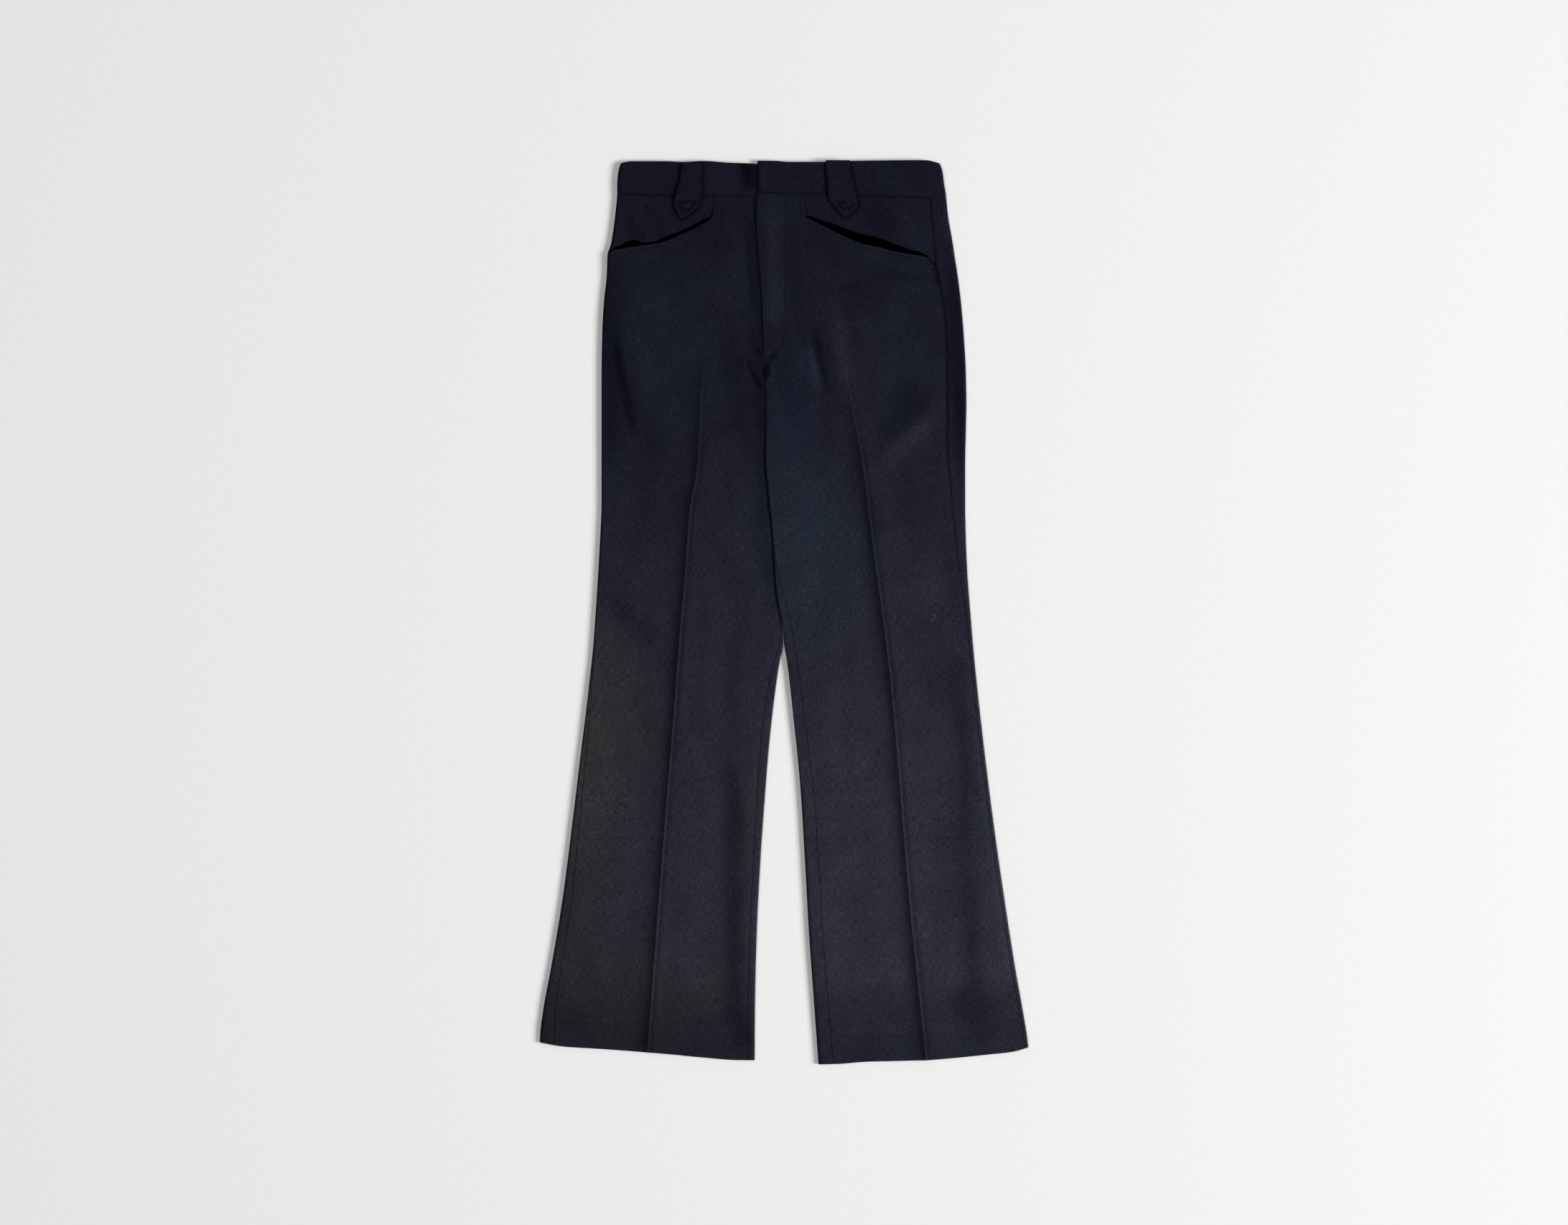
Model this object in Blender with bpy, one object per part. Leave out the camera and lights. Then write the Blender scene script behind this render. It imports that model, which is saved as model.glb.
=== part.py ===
"""Bootcut trousers laid flat with the front up, at their real size.

The cloth lies on z = 0 with its waist towards +Y. Left and right are the wearer's, so the
left leg is on the +X side. Sizes are in millimetres and become metres when a mesh is made.
Each panel is a wall along a flattened tube: it is worked out from the outline, the two fold
edges and the seams, row by row from the hem to the waist.
"""

from typing import NamedTuple

import bmesh
import bpy
import numpy as np

# Driving sizes, in millimetres
MM = 0.001
CLOTH = 1.3            # wall of one layer of suiting with its pressed seams
BAND_CLOTH = 2.0       # wall of the waistband, which is two layers and a stiffener
POCKET_CLOTH = 1.0
LOOP_CLOTH = 1.8
BACK_LOOP_CLOTH = 1.6
SEAM_GAP = 0.3
FORK_Y = 259.2         # where the four inner seams meet
CLOSE_Y = 297.0        # above this the fronts and the backs meet edge to edge
LEAST_SEAM = 0.9       # a seam on a fold edge lies this far round it, on the upper side
HEM_Y = -508.0
HEM_DEPTH = 30.0
HEM_EXTRA = 0.8        # the turned-up hem thickens the wall inwards by this
HEM_RAMP = 3.0         # the second layer ends over this height
HEM_CURVE_Y = -400.0   # rows below this bend towards the curve of the hem
BAND_FRONT_TOP = 6.7   # upper face of the front of the waistband
UNDERLAP = 12.0        # how far the right front runs under the left one at the fly
UNDERLAP_SINK = 1.65
UNDERLAP_END_Y = 318.0
SINK_END_Y = 303.0
BAND_UNDERLAP = 13.0
BAND_SINK = 2.35
SLIT_ROW_Y = 385.0     # rows above this bend towards the pocket opening
POCKET_CORNER_Y = 467.0
POCKETING_MID = 2.3    # middle height of the pocket cloth, under the yoke and the front
YOKE_DROP = 1.2        # how far the yoke sinks along the pocket opening
BACK_LOOP_WIDTH = 15.0
BACK_LOOP_LIFT = 1.95
BACK_LOOP_INSET = 3.0  # a back loop starts this far above the waistband seam
BACK_LOOP_EDGE = 0.75  # thickness of its edge as a share of its middle
BACK_LOOP_TOP = 1.5    # and ends this far below the waistband's upper edge
LOOP_SLOPE_START = 0.8 # beside a back loop the waistband starts to come down at this distance
LOOP_SLOPE = 3.8       # and reaches the surface over this one
LOOP_CLEARANCE = 0.1   # a front loop lies this much above the seam gap over the waistband
LOOP_ARCH = 0.5        # and rises by this between its two sewn ends
LOOP_ARCH_RAMP = 12.0
LOOP_STEP = 5.0        # a loop comes down from the waistband to the yoke over this height
LOOP_TOP_Y = 532.0
LOOP_LOW_Y = 484.0
TOP_Y = 493.0          # nominal height of the waistband seam
BAND_MID_Y = 512.0
BAND_EDGE = 0.55       # thickness of a rounded edge as a share of the wall
UNDER_BAND_DROP = 1.0  # the back of the waistband ends this much lower than the front
UNDER_BAND_RAMP = 12.0
LAP_RAMP = 14.0        # the lap of the fly grows to its width over this height
LAP_FADE = 10.0        # and below it the seam's gap opens over this one
SINK_RAMP = 12.0
SINK_START = 10.0      # the right front starts to sink this far before the fly edge
SINK_REACH = 9.0
BAND_SINK_REACH = 8.0
FLY_RISE = 0.3         # the left front stands this much higher along its fly edge
FLY_RISE_REACH = 7.0
POCKET_LIFT = {"right": 0.25, "left": 0.7}   # how far a front stands up along its opening
POCKET_LIFT_REACH = 9.0
POCKET_LIFT_Y = 330.0
POCKET_LIFT_RAMP = 50.0
POCKET_SIDE_RAMP = 12.0
YOKE_MID_Y = 460.0
YOKE_SINK_START = 2.0  # the yoke starts to sink this far from the outer fold edge
YOKE_SINK_RAMP = 8.0
YOKE_SINK = 0.15       # how far the whole yoke lies below the front
POCKET_REACH_LOW = 26.0    # the pocket cloth reaches this far below the opening
POCKET_REACH_HIGH = 12.0   # and this far above it
FOLD_START = 4.0       # folds start this far from a fold edge
FOLD_RAMP = 12.0
SETTLE_ROUNDS = 6      # rounds in which heights and side positions settle
CREASE_SHARP = 1.25
CREASE_SHARP_REACH = 3.0
CREASE_BROAD = 0.7
CREASE_BROAD_REACH = 15.0
EDGE_REACH = 12.0      # a fold edge's own height fades out over this distance
BACK_CENTRE_TOP_X = -4.2


class Outline(NamedTuple):
    """Outer fold edges of the garment at one height."""

    y: float
    right: float
    left: float


class Inner(NamedTuple):
    """Inner fold edges of the two legs at one height."""

    y: float
    right: float
    left: float


class Place(NamedTuple):
    """A value or a side position that changes with height."""

    y: float
    value: float


class Point(NamedTuple):
    """A point of an edge that crosses the garment."""

    x: float
    y: float


class Fold(NamedTuple):
    """A soft ridge, or a trough where its height is below zero."""

    x1: float
    y1: float
    x2: float
    y2: float
    width: float
    height: float


class Strip(NamedTuple):
    """The two sides of a belt loop at one height."""

    y: float
    x1: float
    x2: float


OUTLINE = (
    Outline(534.6, -190.5, 180.0), Outline(531.0, -193.2, 184.0), Outline(521.0, -196.0, 187.4),
    Outline(508.0, -197.2, 189.2), Outline(495.6, -197.4, 191.2), Outline(470.0, -199.8, 193.8),
    Outline(436.0, -204.8, 199.6), Outline(422.0, -209.0, 201.6), Outline(402.0, -209.6, 204.8),
    Outline(368.0, -213.0, 209.1), Outline(334.0, -215.0, 212.1), Outline(283.0, -215.9, 215.0),
    Outline(249.0, -215.9, 215.6), Outline(215.0, -215.9, 215.0), Outline(172.0, -215.9, 214.2),
    Outline(130.0, -215.9, 214.2), Outline(87.5, -217.6, 215.0), Outline(45.0, -220.0, 216.9),
    Outline(2.5, -222.7, 220.1), Outline(-40.0, -225.8, 223.6), Outline(-91.0, -231.2, 228.7),
    Outline(-167.4, -240.5, 237.4), Outline(-252.4, -250.8, 248.2), Outline(-337.4, -261.8, 260.4),
    Outline(-422.4, -276.0, 273.7), Outline(-464.9, -284.0, 281.3), Outline(-498.9, -288.4, 287.0),
    Outline(-515.0, -289.0, 289.0),
)
INNER = (
    Inner(320.0, -24.4, -24.4), Inner(FORK_Y, -22.2, -22.2), Inner(217.6, -22.0, -22.0),
    Inner(186.2, -22.8, -22.8), Inner(138.5, -18.9, -18.9), Inner(91.8, -14.1, -14.1),
    Inner(28.9, -9.9, -9.9), Inner(-22.9, -2.4, -1.6), Inner(-37.4, -1.6, 0.0),
    Inner(-56.9, -5.1, 3.4), Inner(-91.0, -10.2, 7.6), Inner(-125.0, -14.4, 11.2),
    Inner(-167.4, -18.7, 15.8), Inner(-209.9, -22.1, 19.6), Inner(-294.9, -28.1, 24.8),
    Inner(-379.9, -32.3, 29.6), Inner(-464.9, -34.4, 35.7), Inner(-533.0, -34.9, 40.8),
)
FLY_EDGE = (
    Place(533.0, -31.4), Place(495.0, -32.3), Place(466.6, -33.1), Place(379.0, -27.2),
    Place(334.9, -25.5), Place(303.4, -23.9), Place(FORK_Y, -22.2),
)
BACK_CENTRE = (Place(495.0, BACK_CENTRE_TOP_X), Place(380.0, -10.0), Place(FORK_Y, -22.2))

# The crease of each leg, and above it the line that runs on to the corner of the pocket
CREASE_RIGHT = (
    Place(495.0, -81.6), Place(467.0, -85.6), Place(400.0, -92.0), Place(270.3, -97.6),
    Place(170.8, -102.6), Place(123.2, -111.0), Place(45.0, -116.8), Place(-17.8, -122.4),
    Place(-119.8, -130.2), Place(-264.3, -142.0), Place(-360.8, -149.4), Place(-518.5, -161.5),
)
CREASE_LEFT = (
    Place(495.0, 23.8), Place(467.0, 26.8), Place(400.0, 46.0), Place(310.0, 68.0),
    Place(253.3, 78.2), Place(180.2, 92.4), Place(104.5, 102.0), Place(47.6, 109.6),
    Place(-51.9, 122.8), Place(-132.2, 131.0), Place(-232.5, 139.2), Place(-344.8, 148.8),
    Place(-441.1, 158.6), Place(-521.0, 167.4),
)
CREASE_HEIGHT = (
    Place(300.0, 0.0), Place(262.0, 0.35), Place(200.0, 0.75), Place(60.0, 0.95),
    Place(-100.0, 1.0), Place(-400.0, 1.0), Place(-520.0, 0.9),
)
# How far each seam lies round from its fold edge, on the upper side
OUTSEAM_RIGHT = (
    Place(495.0, 0.9), Place(-15.0, 0.9), Place(-120.0, 4.8), Place(-240.0, 8.2),
    Place(-345.0, 10.8), Place(-441.0, 12.5), Place(-515.0, 18.4),
)
OUTSEAM_LEFT = (
    Place(488.0, 19.4), Place(435.5, 22.6), Place(405.0, 24.2), Place(353.0, 21.0),
    Place(249.0, 22.9), Place(186.0, 21.2), Place(139.0, 16.8), Place(91.0, 12.8),
    Place(47.6, 9.8), Place(-2.5, 6.0), Place(-60.0, 4.8), Place(-515.0, 4.8),
)
INSEAM_RIGHT = (
    Place(FORK_Y, 0.9), Place(-14.0, 0.9), Place(-60.0, 7.4), Place(-120.0, 10.8),
    Place(-220.0, 10.0), Place(-320.0, 8.6), Place(-515.0, 9.0),
)
INSEAM_LEFT = (
    Place(FORK_Y, 0.9), Place(76.0, 0.9), Place(40.0, 5.6), Place(-14.0, 11.4),
    Place(-140.0, 13.2), Place(-220.0, 15.6), Place(-441.0, 16.6), Place(-530.0, 17.6),
)
# Heights of the upper face over the surface, in the middle of a panel and at the fold edges
BODY_LEVEL = (
    Place(495.0, 5.85), Place(300.0, 5.7), Place(200.0, 5.3), Place(60.0, 5.1), Place(-515.0, 5.0),
)
OUTER_LEVEL = (Place(495.0, 5.5), Place(300.0, 5.2), Place(100.0, 4.9), Place(-515.0, 4.7))
INNER_LEVEL_RIGHT = (
    Place(320.0, 5.7), Place(FORK_Y, 5.4), Place(217.6, 4.5), Place(186.2, 4.0), Place(138.5, 3.6),
    Place(28.9, 3.5), Place(-37.4, 3.8), Place(-91.0, 4.4), Place(-200.0, 4.7), Place(-515.0, 4.8),
)
INNER_LEVEL_LEFT = (
    Place(320.0, 5.7), Place(FORK_Y, 5.6), Place(186.2, 5.8), Place(-37.4, 5.5),
    Place(-91.0, 5.0), Place(-515.0, 4.8),
)
BAND_TOP_RIGHT = (
    Point(-194.0, 531.0), Point(-180.2, 533.4), Point(-137.7, 533.4), Point(-120.7, 532.4),
    Point(-95.2, 533.6), Point(-61.2, 531.4), Point(-17.0, 530.2),
)
BAND_TOP_LEFT = (
    Point(-31.4, 534.0), Point(-10.2, 533.8), Point(6.8, 532.5), Point(40.8, 532.5),
    Point(83.3, 533.8), Point(168.3, 534.6), Point(182.0, 531.6),
)
BAND_SEAM_RIGHT = (
    Point(-197.0, 495.6), Point(-137.7, 493.3), Point(-78.2, 493.3), Point(-17.0, 494.7),
)
BAND_SEAM_LEFT = (
    Point(-32.0, 496.8), Point(40.8, 495.1), Point(87.5, 493.3), Point(190.0, 490.4),
)
HEM_RIGHT = (
    Point(-289.0, -508.3), Point(-260.1, -513.2), Point(-219.3, -515.9), Point(-178.5, -518.7),
    Point(-137.7, -522.1), Point(-96.9, -526.0), Point(-56.1, -529.2), Point(-34.9, -529.4),
)
HEM_LEFT = (
    Point(40.8, -534.5), Point(66.3, -533.6), Point(96.9, -531.2), Point(127.5, -530.4),
    Point(168.3, -529.3), Point(198.9, -527.0), Point(239.7, -522.8), Point(270.3, -519.4),
    Point(289.0, -514.2),
)
# Upper edge of each front along its pocket opening, from the side seam to the corner
SLIT_RIGHT = (
    Point(-208.0, 425.6), Point(-200.0, 431.4), Point(-183.0, 435.4), Point(-166.8, 438.6),
    Point(-152.6, 440.0), Point(-127.5, 446.8), Point(-105.4, 459.0), Point(-85.6, 467.0),
)
SLIT_LEFT = (
    Point(26.8, 467.0), Point(37.0, 459.4), Point(52.7, 450.5), Point(76.2, 440.3),
    Point(91.8, 434.8), Point(115.6, 429.2), Point(139.1, 424.6), Point(160.0, 421.6),
    Point(169.0, 418.6), Point(178.6, 405.8),
)
# Lower edge of the yoke, across the opening from the front's edge
YOKE_EDGE_RIGHT = (
    Point(-208.0, 429.4), Point(-200.0, 434.6), Point(-183.0, 438.4), Point(-166.8, 442.0),
    Point(-152.6, 443.2), Point(-127.5, 449.8), Point(-105.4, 462.0), Point(-85.6, 469.6),
)
YOKE_EDGE_LEFT = (
    Point(27.0, 470.2), Point(44.8, 465.5), Point(60.4, 460.7), Point(76.2, 452.9),
    Point(91.8, 447.4), Point(115.6, 441.1), Point(131.3, 434.8), Point(147.0, 429.2),
    Point(168.0, 423.0), Point(178.6, 410.0),
)
LARGE_FOLDS = (
    Fold(-201.4, 329.0, -179.4, 217.0, 9.0, -0.7),
    Fold(-46.0, 300.0, -30.0, 268.0, 7.0, 0.8),
    Fold(27.0, 320.0, 39.0, 262.0, 8.0, 0.8),
    Fold(44.0, 334.0, 58.0, 263.0, 8.0, -0.7),
    Fold(66.0, 352.0, 68.0, 304.0, 16.0, 0.5),
    Fold(109.0, 171.0, 178.0, 236.0, 12.0, 0.8),
    Fold(118.0, 205.0, 165.0, 245.0, 12.0, -0.6),
    Fold(-66.0, -180.0, -60.0, -481.0, 14.0, -0.6),
    Fold(205.0, -40.0, 228.0, -481.0, 11.0, -0.5),
)
FRONT_LOOP_RIGHT = (
    Strip(531.6, -121.0, -96.8), Strip(526.0, -121.4, -97.0), Strip(511.7, -123.2, -97.4),
    Strip(496.4, -127.5, -97.8), Strip(490.0, -129.4, -98.4), Strip(483.0, -130.7, -100.3),
    Strip(476.0, -128.4, -106.0), Strip(469.6, -125.0, -113.2), Strip(466.6, -122.2, -117.6),
)
FRONT_LOOP_LEFT = (
    Strip(534.3, 49.3, 77.4), Strip(528.0, 49.4, 77.6), Strip(510.0, 51.4, 81.2),
    Strip(496.4, 51.8, 85.2), Strip(487.9, 53.8, 86.6), Strip(480.0, 59.2, 87.0),
    Strip(474.0, 64.0, 81.6), Strip(468.2, 70.4, 75.6),
)
BACK_LOOPS = {"right": -100.0, "centre": BACK_CENTRE_TOP_X, "left": 92.0}

# Heights of the rows from the hem up to the pocket rows
ROWS = (
    HEM_Y, -493.0, HEM_Y + HEM_DEPTH, -475.0, -450.0, -422.0, -385.0, -345.0, -300.0, -255.0,
    -210.0, -170.0, -130.0, -95.0, -68.0, -48.0, -37.0, -20.0, 5.0, 35.0, 65.0, 92.0, 116.0, 140.0,
    164.0, 187.0, 204.0, 220.0, 236.0, 248.0, FORK_Y, 266.0, 275.0, 286.0, 297.0, 303.5, 310.5,
    318.0, 334.0, 355.0, SLIT_ROW_Y,
)
SLIT_STEPS = (0.34, 0.68, 1.0)
UPPER_STEPS = (0.25, 0.5, 0.75, 1.0)
SEAM_SIDE_STEPS = (0.0, 1.3, 2.8, 5.5)
CREASE_STEPS = (-9.0, -3.6, -1.2, 0.0, 1.2, 3.6, 9.0)
OUTSIDE_FRACTIONS = (0.2, 0.47, 0.74)
INSIDE_FRACTIONS = (0.26, 0.53, 0.8)
UNDER_FRACTIONS = (0.33, 0.67, 1.0)
BAND_FRACTIONS = (0.2, 0.4, 0.6, 0.8, 1.0)
BAND_TURN_FRACTIONS = (-1.0, -0.5, 0.0, 0.5, 1.0)
BAND_TURN_STEP = 8.0
BAND_RISE = (0.0, 0.03, 0.5, 0.97, 1.0)
LOOP_FRACTIONS = (0.0, 0.06, 0.35, 0.65, 0.94, 1.0)
BACK_LOOP_FRACTIONS = (-0.5, -0.42, 0.42, 0.5)
BACK_LOOP_RISE = (0.0, 0.05, 0.95, 1.0)
BAND_END_STEPS = (0.0, 1.0, 5.0, 10.0, 14.0, 18.0, 23.0)
YOKE_FRACTIONS = (0.0, 0.012, 0.028, 0.07, 0.18, 0.3, 0.42, 0.54, 0.66, 0.78, 0.89, 1.0)
YOKE_STEPS = (0.0, 0.12, 0.3, 0.55, 0.8, 1.0)
POCKETING_FRACTIONS = (0.05, 0.2, 0.37, 0.54, 0.71, 0.88, 1.05)
POCKETING_STEPS = (0.0, 0.33, 0.67, 1.0)

BLACK_SUITING = (0.024, 0.023, 0.034)
POCKET_BLACK = (0.006, 0.006, 0.009)
CLOTH_ROUGHNESS = 0.86
SHARP_DEGREES = 50.0


def curve_through(xs, ys):
    """Returns a function that follows the points without overshooting between them."""
    order = np.argsort(xs)
    xs = np.asarray(xs, float)[order]
    ys = np.asarray(ys, float)[order]
    steps = np.diff(xs)
    slopes = np.diff(ys) / steps
    tangents = np.empty(len(xs))
    tangents[0] = slopes[0]
    tangents[-1] = slopes[-1]
    for i in range(1, len(xs) - 1):
        if slopes[i - 1] * slopes[i] <= 0.0:
            tangents[i] = 0.0
        else:
            before = 2.0 * steps[i] + steps[i - 1]
            after = steps[i] + 2.0 * steps[i - 1]
            tangents[i] = (before + after) / (before / slopes[i - 1] + after / slopes[i])

    def value(x):
        x = np.clip(x, xs[0], xs[-1])
        i = np.clip(np.searchsorted(xs, x) - 1, 0, len(steps) - 1)
        h = steps[i]
        t = (x - xs[i]) / h
        low = (1.0 + 2.0 * t) * (1.0 - t) ** 2 * ys[i] + t * (1.0 - t) ** 2 * h * tangents[i]
        high = t * t * (3.0 - 2.0 * t) * ys[i + 1] + t * t * (t - 1.0) * h * tangents[i + 1]
        return low + high

    return value


def by_height(rows, column="value"):
    return curve_through([row.y for row in rows], [getattr(row, column) for row in rows])


def by_width(points):
    return curve_through([point.x for point in points], [point.y for point in points])


def ease(t):
    """Rises smoothly from 0 to 1 while t goes from 0 to 1."""
    t = np.clip(t, 0.0, 1.0)
    return t * t * (3.0 - 2.0 * t)


def large_folds(x, y):
    """Height that the large folds add at a place on the front."""
    total = np.zeros(np.broadcast(x, y).shape)
    for fold in LARGE_FOLDS:
        along_x = fold.x2 - fold.x1
        along_y = fold.y2 - fold.y1
        length = np.hypot(along_x, along_y)
        run = ((x - fold.x1) * along_x + (y - fold.y1) * along_y) / length**2
        across = ((x - fold.x1) * along_y - (y - fold.y1) * along_x) / length
        ends = ease((run + 0.15) / 0.4) * ease((1.15 - run) / 0.4)
        total += fold.height * ends * np.exp(-((across / fold.width) ** 2))
    return total


class Leg:
    """One half of the garment, with the curves that its panels follow."""

    def __init__(self, name):
        left = name == "left"
        self.name = name
        self.inwards = -1.0 if left else 1.0
        self.outer = by_height(OUTLINE, name)
        self.inner = by_height(INNER, name)
        self.fly = by_height(FLY_EDGE)
        self.back_centre = by_height(BACK_CENTRE)
        self.crease = by_height(CREASE_LEFT if left else CREASE_RIGHT)
        self.crease_height = by_height(CREASE_HEIGHT)
        self.outseam = by_height(OUTSEAM_LEFT if left else OUTSEAM_RIGHT)
        self.inseam = by_height(INSEAM_LEFT if left else INSEAM_RIGHT)
        self.body_level = by_height(BODY_LEVEL)
        self.outer_level = by_height(OUTER_LEVEL)
        self.inner_level = by_height(INNER_LEVEL_LEFT if left else INNER_LEVEL_RIGHT)
        self.band_top = by_width(BAND_TOP_LEFT if left else BAND_TOP_RIGHT)
        self.band_seam = by_width(BAND_SEAM_LEFT if left else BAND_SEAM_RIGHT)
        self.hem = by_width(HEM_LEFT if left else HEM_RIGHT)
        self.slit = by_width(SLIT_LEFT if left else SLIT_RIGHT)
        self.yoke_edge = by_width(YOKE_EDGE_LEFT if left else YOKE_EDGE_RIGHT)

    def turn(self, y):
        """How far the inner edges are turned towards each other: 0 open, a quarter turn closed."""
        return 0.5 * np.pi * ease((CLOSE_Y - y) / (CLOSE_Y - FORK_Y))

    def top_width(self, y):
        """Width from the outer fold edge to where the front ends or turns down."""
        gap = 0.5 * SEAM_GAP
        middle = np.where(y > FORK_Y, self.fly(y), self.inner(y))
        if self.name == "left":
            lap = gap * ease((UNDERLAP_END_Y - y) / LAP_FADE)
            return self.outer(y) - middle - lap
        reach = UNDERLAP * ease((y - UNDERLAP_END_Y) / LAP_RAMP) - gap
        return middle + reach - self.outer(y)

    def bottom_width(self, y):
        """Width from the outer fold edge to where the back ends or turns up."""
        middle = np.where(y > FORK_Y, self.back_centre(y), self.inner(y))
        return np.abs(middle - self.outer(y)) - 0.5 * SEAM_GAP

    def x(self, y, w):
        """The side position of a point that lies w inwards of the outer fold edge."""
        return self.outer(y) + self.inwards * w

    def relief(self, y, w):
        """Crease and folds of the upper side, faded out at the fold edges."""
        x = self.x(y, w)
        off = np.abs(x - self.crease(y))
        sharp = CREASE_SHARP * np.exp(-off / CREASE_SHARP_REACH)
        broad = CREASE_BROAD * np.exp(-off / CREASE_BROAD_REACH)
        crease = self.crease_height(y) * (sharp + broad)
        fade_out = ease((w - FOLD_START) / FOLD_RAMP)
        closed = np.sin(self.turn(y))
        inner = ease((self.top_width(y) - w - FOLD_START) / FOLD_RAMP)
        fade_in = 1.0 - closed * (1.0 - inner)
        return (crease + large_folds(x, y)) * fade_out * fade_in


class Ring:
    """The flattened tube of one leg at given heights, as the middle line of its wall.

    A place on the upper side is given by t, the distance from the outer fold edge. A place on
    the under side is given by q, the distance from the inner edge.
    """

    def __init__(self, leg, y, wall, level=None):
        self.leg = leg
        self.y = y
        self.wall = wall
        self.turn = leg.turn(y) if level is None else np.zeros_like(y)
        self.low = 0.5 * wall
        flat = level is not None
        self.body = (np.full_like(y, level) if flat else leg.body_level(y)) - 0.5 * wall
        self.out_top = (np.full_like(y, level - 0.6) if flat else leg.outer_level(y)) - 0.5 * wall
        self.in_top = self.body if flat else leg.inner_level(y) - 0.5 * wall
        self.out_radius = 0.5 * (self.out_top - self.low)
        self.in_radius = 0.5 * (self.in_top - self.low)
        self.out_arc = 0.5 * np.pi * self.out_radius
        self.in_arc = self.turn * self.in_radius
        self.start = 0.5 * wall + self.out_radius
        pull = (0.5 * wall + self.in_radius) * np.sin(self.turn)
        self.top_end = leg.top_width(y) - pull
        self.bottom_end = leg.bottom_width(y) - pull
        self.top_length = self.out_arc + (self.top_end - self.start) + self.in_arc
        self.bottom_length = self.out_arc + (self.bottom_end - self.start) + self.in_arc

    def level(self, w):
        """Middle height of the upper side's straight run."""
        near_out = np.exp(-np.maximum(w - self.start, 0.0) / EDGE_REACH)
        near_in = np.exp(-np.maximum(self.top_end - w, 0.0) / EDGE_REACH)
        return (self.body + (self.out_top - self.body) * near_out
                + (self.in_top - self.body) * near_in * np.sin(self.turn))

    def upper(self, t):
        """Width, height and outward normal at t on the upper side, or round the outer edge."""
        angle = np.clip(t / self.out_radius, -0.5 * np.pi, 0.5 * np.pi)
        arc_w = 0.5 * self.wall + self.out_radius * (1.0 - np.cos(angle))
        arc_z = self.low + self.out_radius * (1.0 + np.sin(angle))
        run_w = self.start + (np.abs(t) - self.out_arc)
        run_z = np.where(t > 0.0, self.level(run_w), self.low)
        past = np.clip(t - self.out_arc - (self.top_end - self.start), 0.0, self.in_arc + 1e-9)
        bend = past / self.in_radius
        end_w = self.top_end + self.in_radius * np.sin(bend)
        end_z = self.level(self.top_end) - self.in_radius * (1.0 - np.cos(bend))
        on_arc = np.abs(t) < self.out_arc
        on_end = past > 0.0
        w = np.where(on_arc, arc_w, np.where(on_end, end_w, run_w))
        z = np.where(on_arc, arc_z, np.where(on_end, end_z, run_z))
        normal_w = np.where(on_arc, -np.cos(angle), np.where(on_end, np.sin(bend), 0.0))
        upright = np.where(on_end, np.cos(bend), np.sign(t))
        normal_z = np.where(on_arc, np.sin(angle), upright)
        return w, z, normal_w, normal_z

    def under(self, q):
        """The same at q on the under side; a q below zero has passed the closed inner edge."""
        bend = np.clip(self.turn - q / self.in_radius, 0.0, None)
        arc_w = self.bottom_end + self.in_radius * np.sin(bend)
        arc_z = self.low + self.in_radius * (1.0 - np.cos(bend))
        on_arc = q < self.in_arc
        rest = self.bottom_length - q
        w, z, normal_w, normal_z = self.upper(-rest)
        w = np.where(on_arc, arc_w, w)
        z = np.where(on_arc, arc_z, z)
        normal_w = np.where(on_arc, np.sin(bend), normal_w)
        normal_z = np.where(on_arc, -np.cos(bend), normal_z)
        over = self.upper(self.top_length + q)
        past = (q < 0.0) & (self.turn > 1.5)
        w = np.where(past, over[0], w)
        z = np.where(past, over[1], z)
        normal_w = np.where(past, over[2], normal_w)
        normal_z = np.where(past, over[3], normal_z)
        return w, z, normal_w, normal_z


def row_heights(leg, kind, columns, place):
    """Heights of a panel's rows at each of its columns.

    The rows bend to the curve of the hem, the pocket opening and the waistband seam, so each
    height depends on the side position, which depends on the height: a few rounds settle both.
    """
    steps = len(SLIT_STEPS)
    y = np.repeat(np.concatenate([
        ROWS,
        SLIT_ROW_Y + np.array(SLIT_STEPS) * (POCKET_CORNER_Y - SLIT_ROW_Y),
        POCKET_CORNER_Y + np.array(UPPER_STEPS) * (TOP_Y - POCKET_CORNER_Y),
    ])[:, None], columns, axis=1)
    nominal = y.copy()
    slit_end = leg.slit(leg.outer(420.0) + leg.inwards * leg.outseam(420.0))
    for _ in range(SETTLE_ROUNDS):
        x = leg.x(y, place(y))
        low = len(ROWS)
        ramp = np.clip((HEM_CURVE_Y - nominal[:low]) / (HEM_CURVE_Y - HEM_Y), 0.0, 1.0)
        y[:low] = nominal[:low] + ramp * (leg.hem(x[:low]) - HEM_Y)
        if kind == "back":
            corner = np.full(columns, slit_end)
        else:
            inside = leg.inwards * (x[low:low + steps] - leg.crease(y[low:low + steps])) >= -1e-6
            corner = np.where(inside, POCKET_CORNER_Y, leg.slit(x[low:low + steps]))
        step = np.array(SLIT_STEPS)[:, None]
        y[low:low + steps] = SLIT_ROW_Y + step * (corner - SLIT_ROW_Y)
        top = leg.band_seam(x[low + steps:]) - 0.5 * SEAM_GAP
        base = slit_end if kind == "back" else POCKET_CORNER_Y
        y[low + steps:] = base + np.array(UPPER_STEPS)[:, None] * (top - base)
    return y


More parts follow.
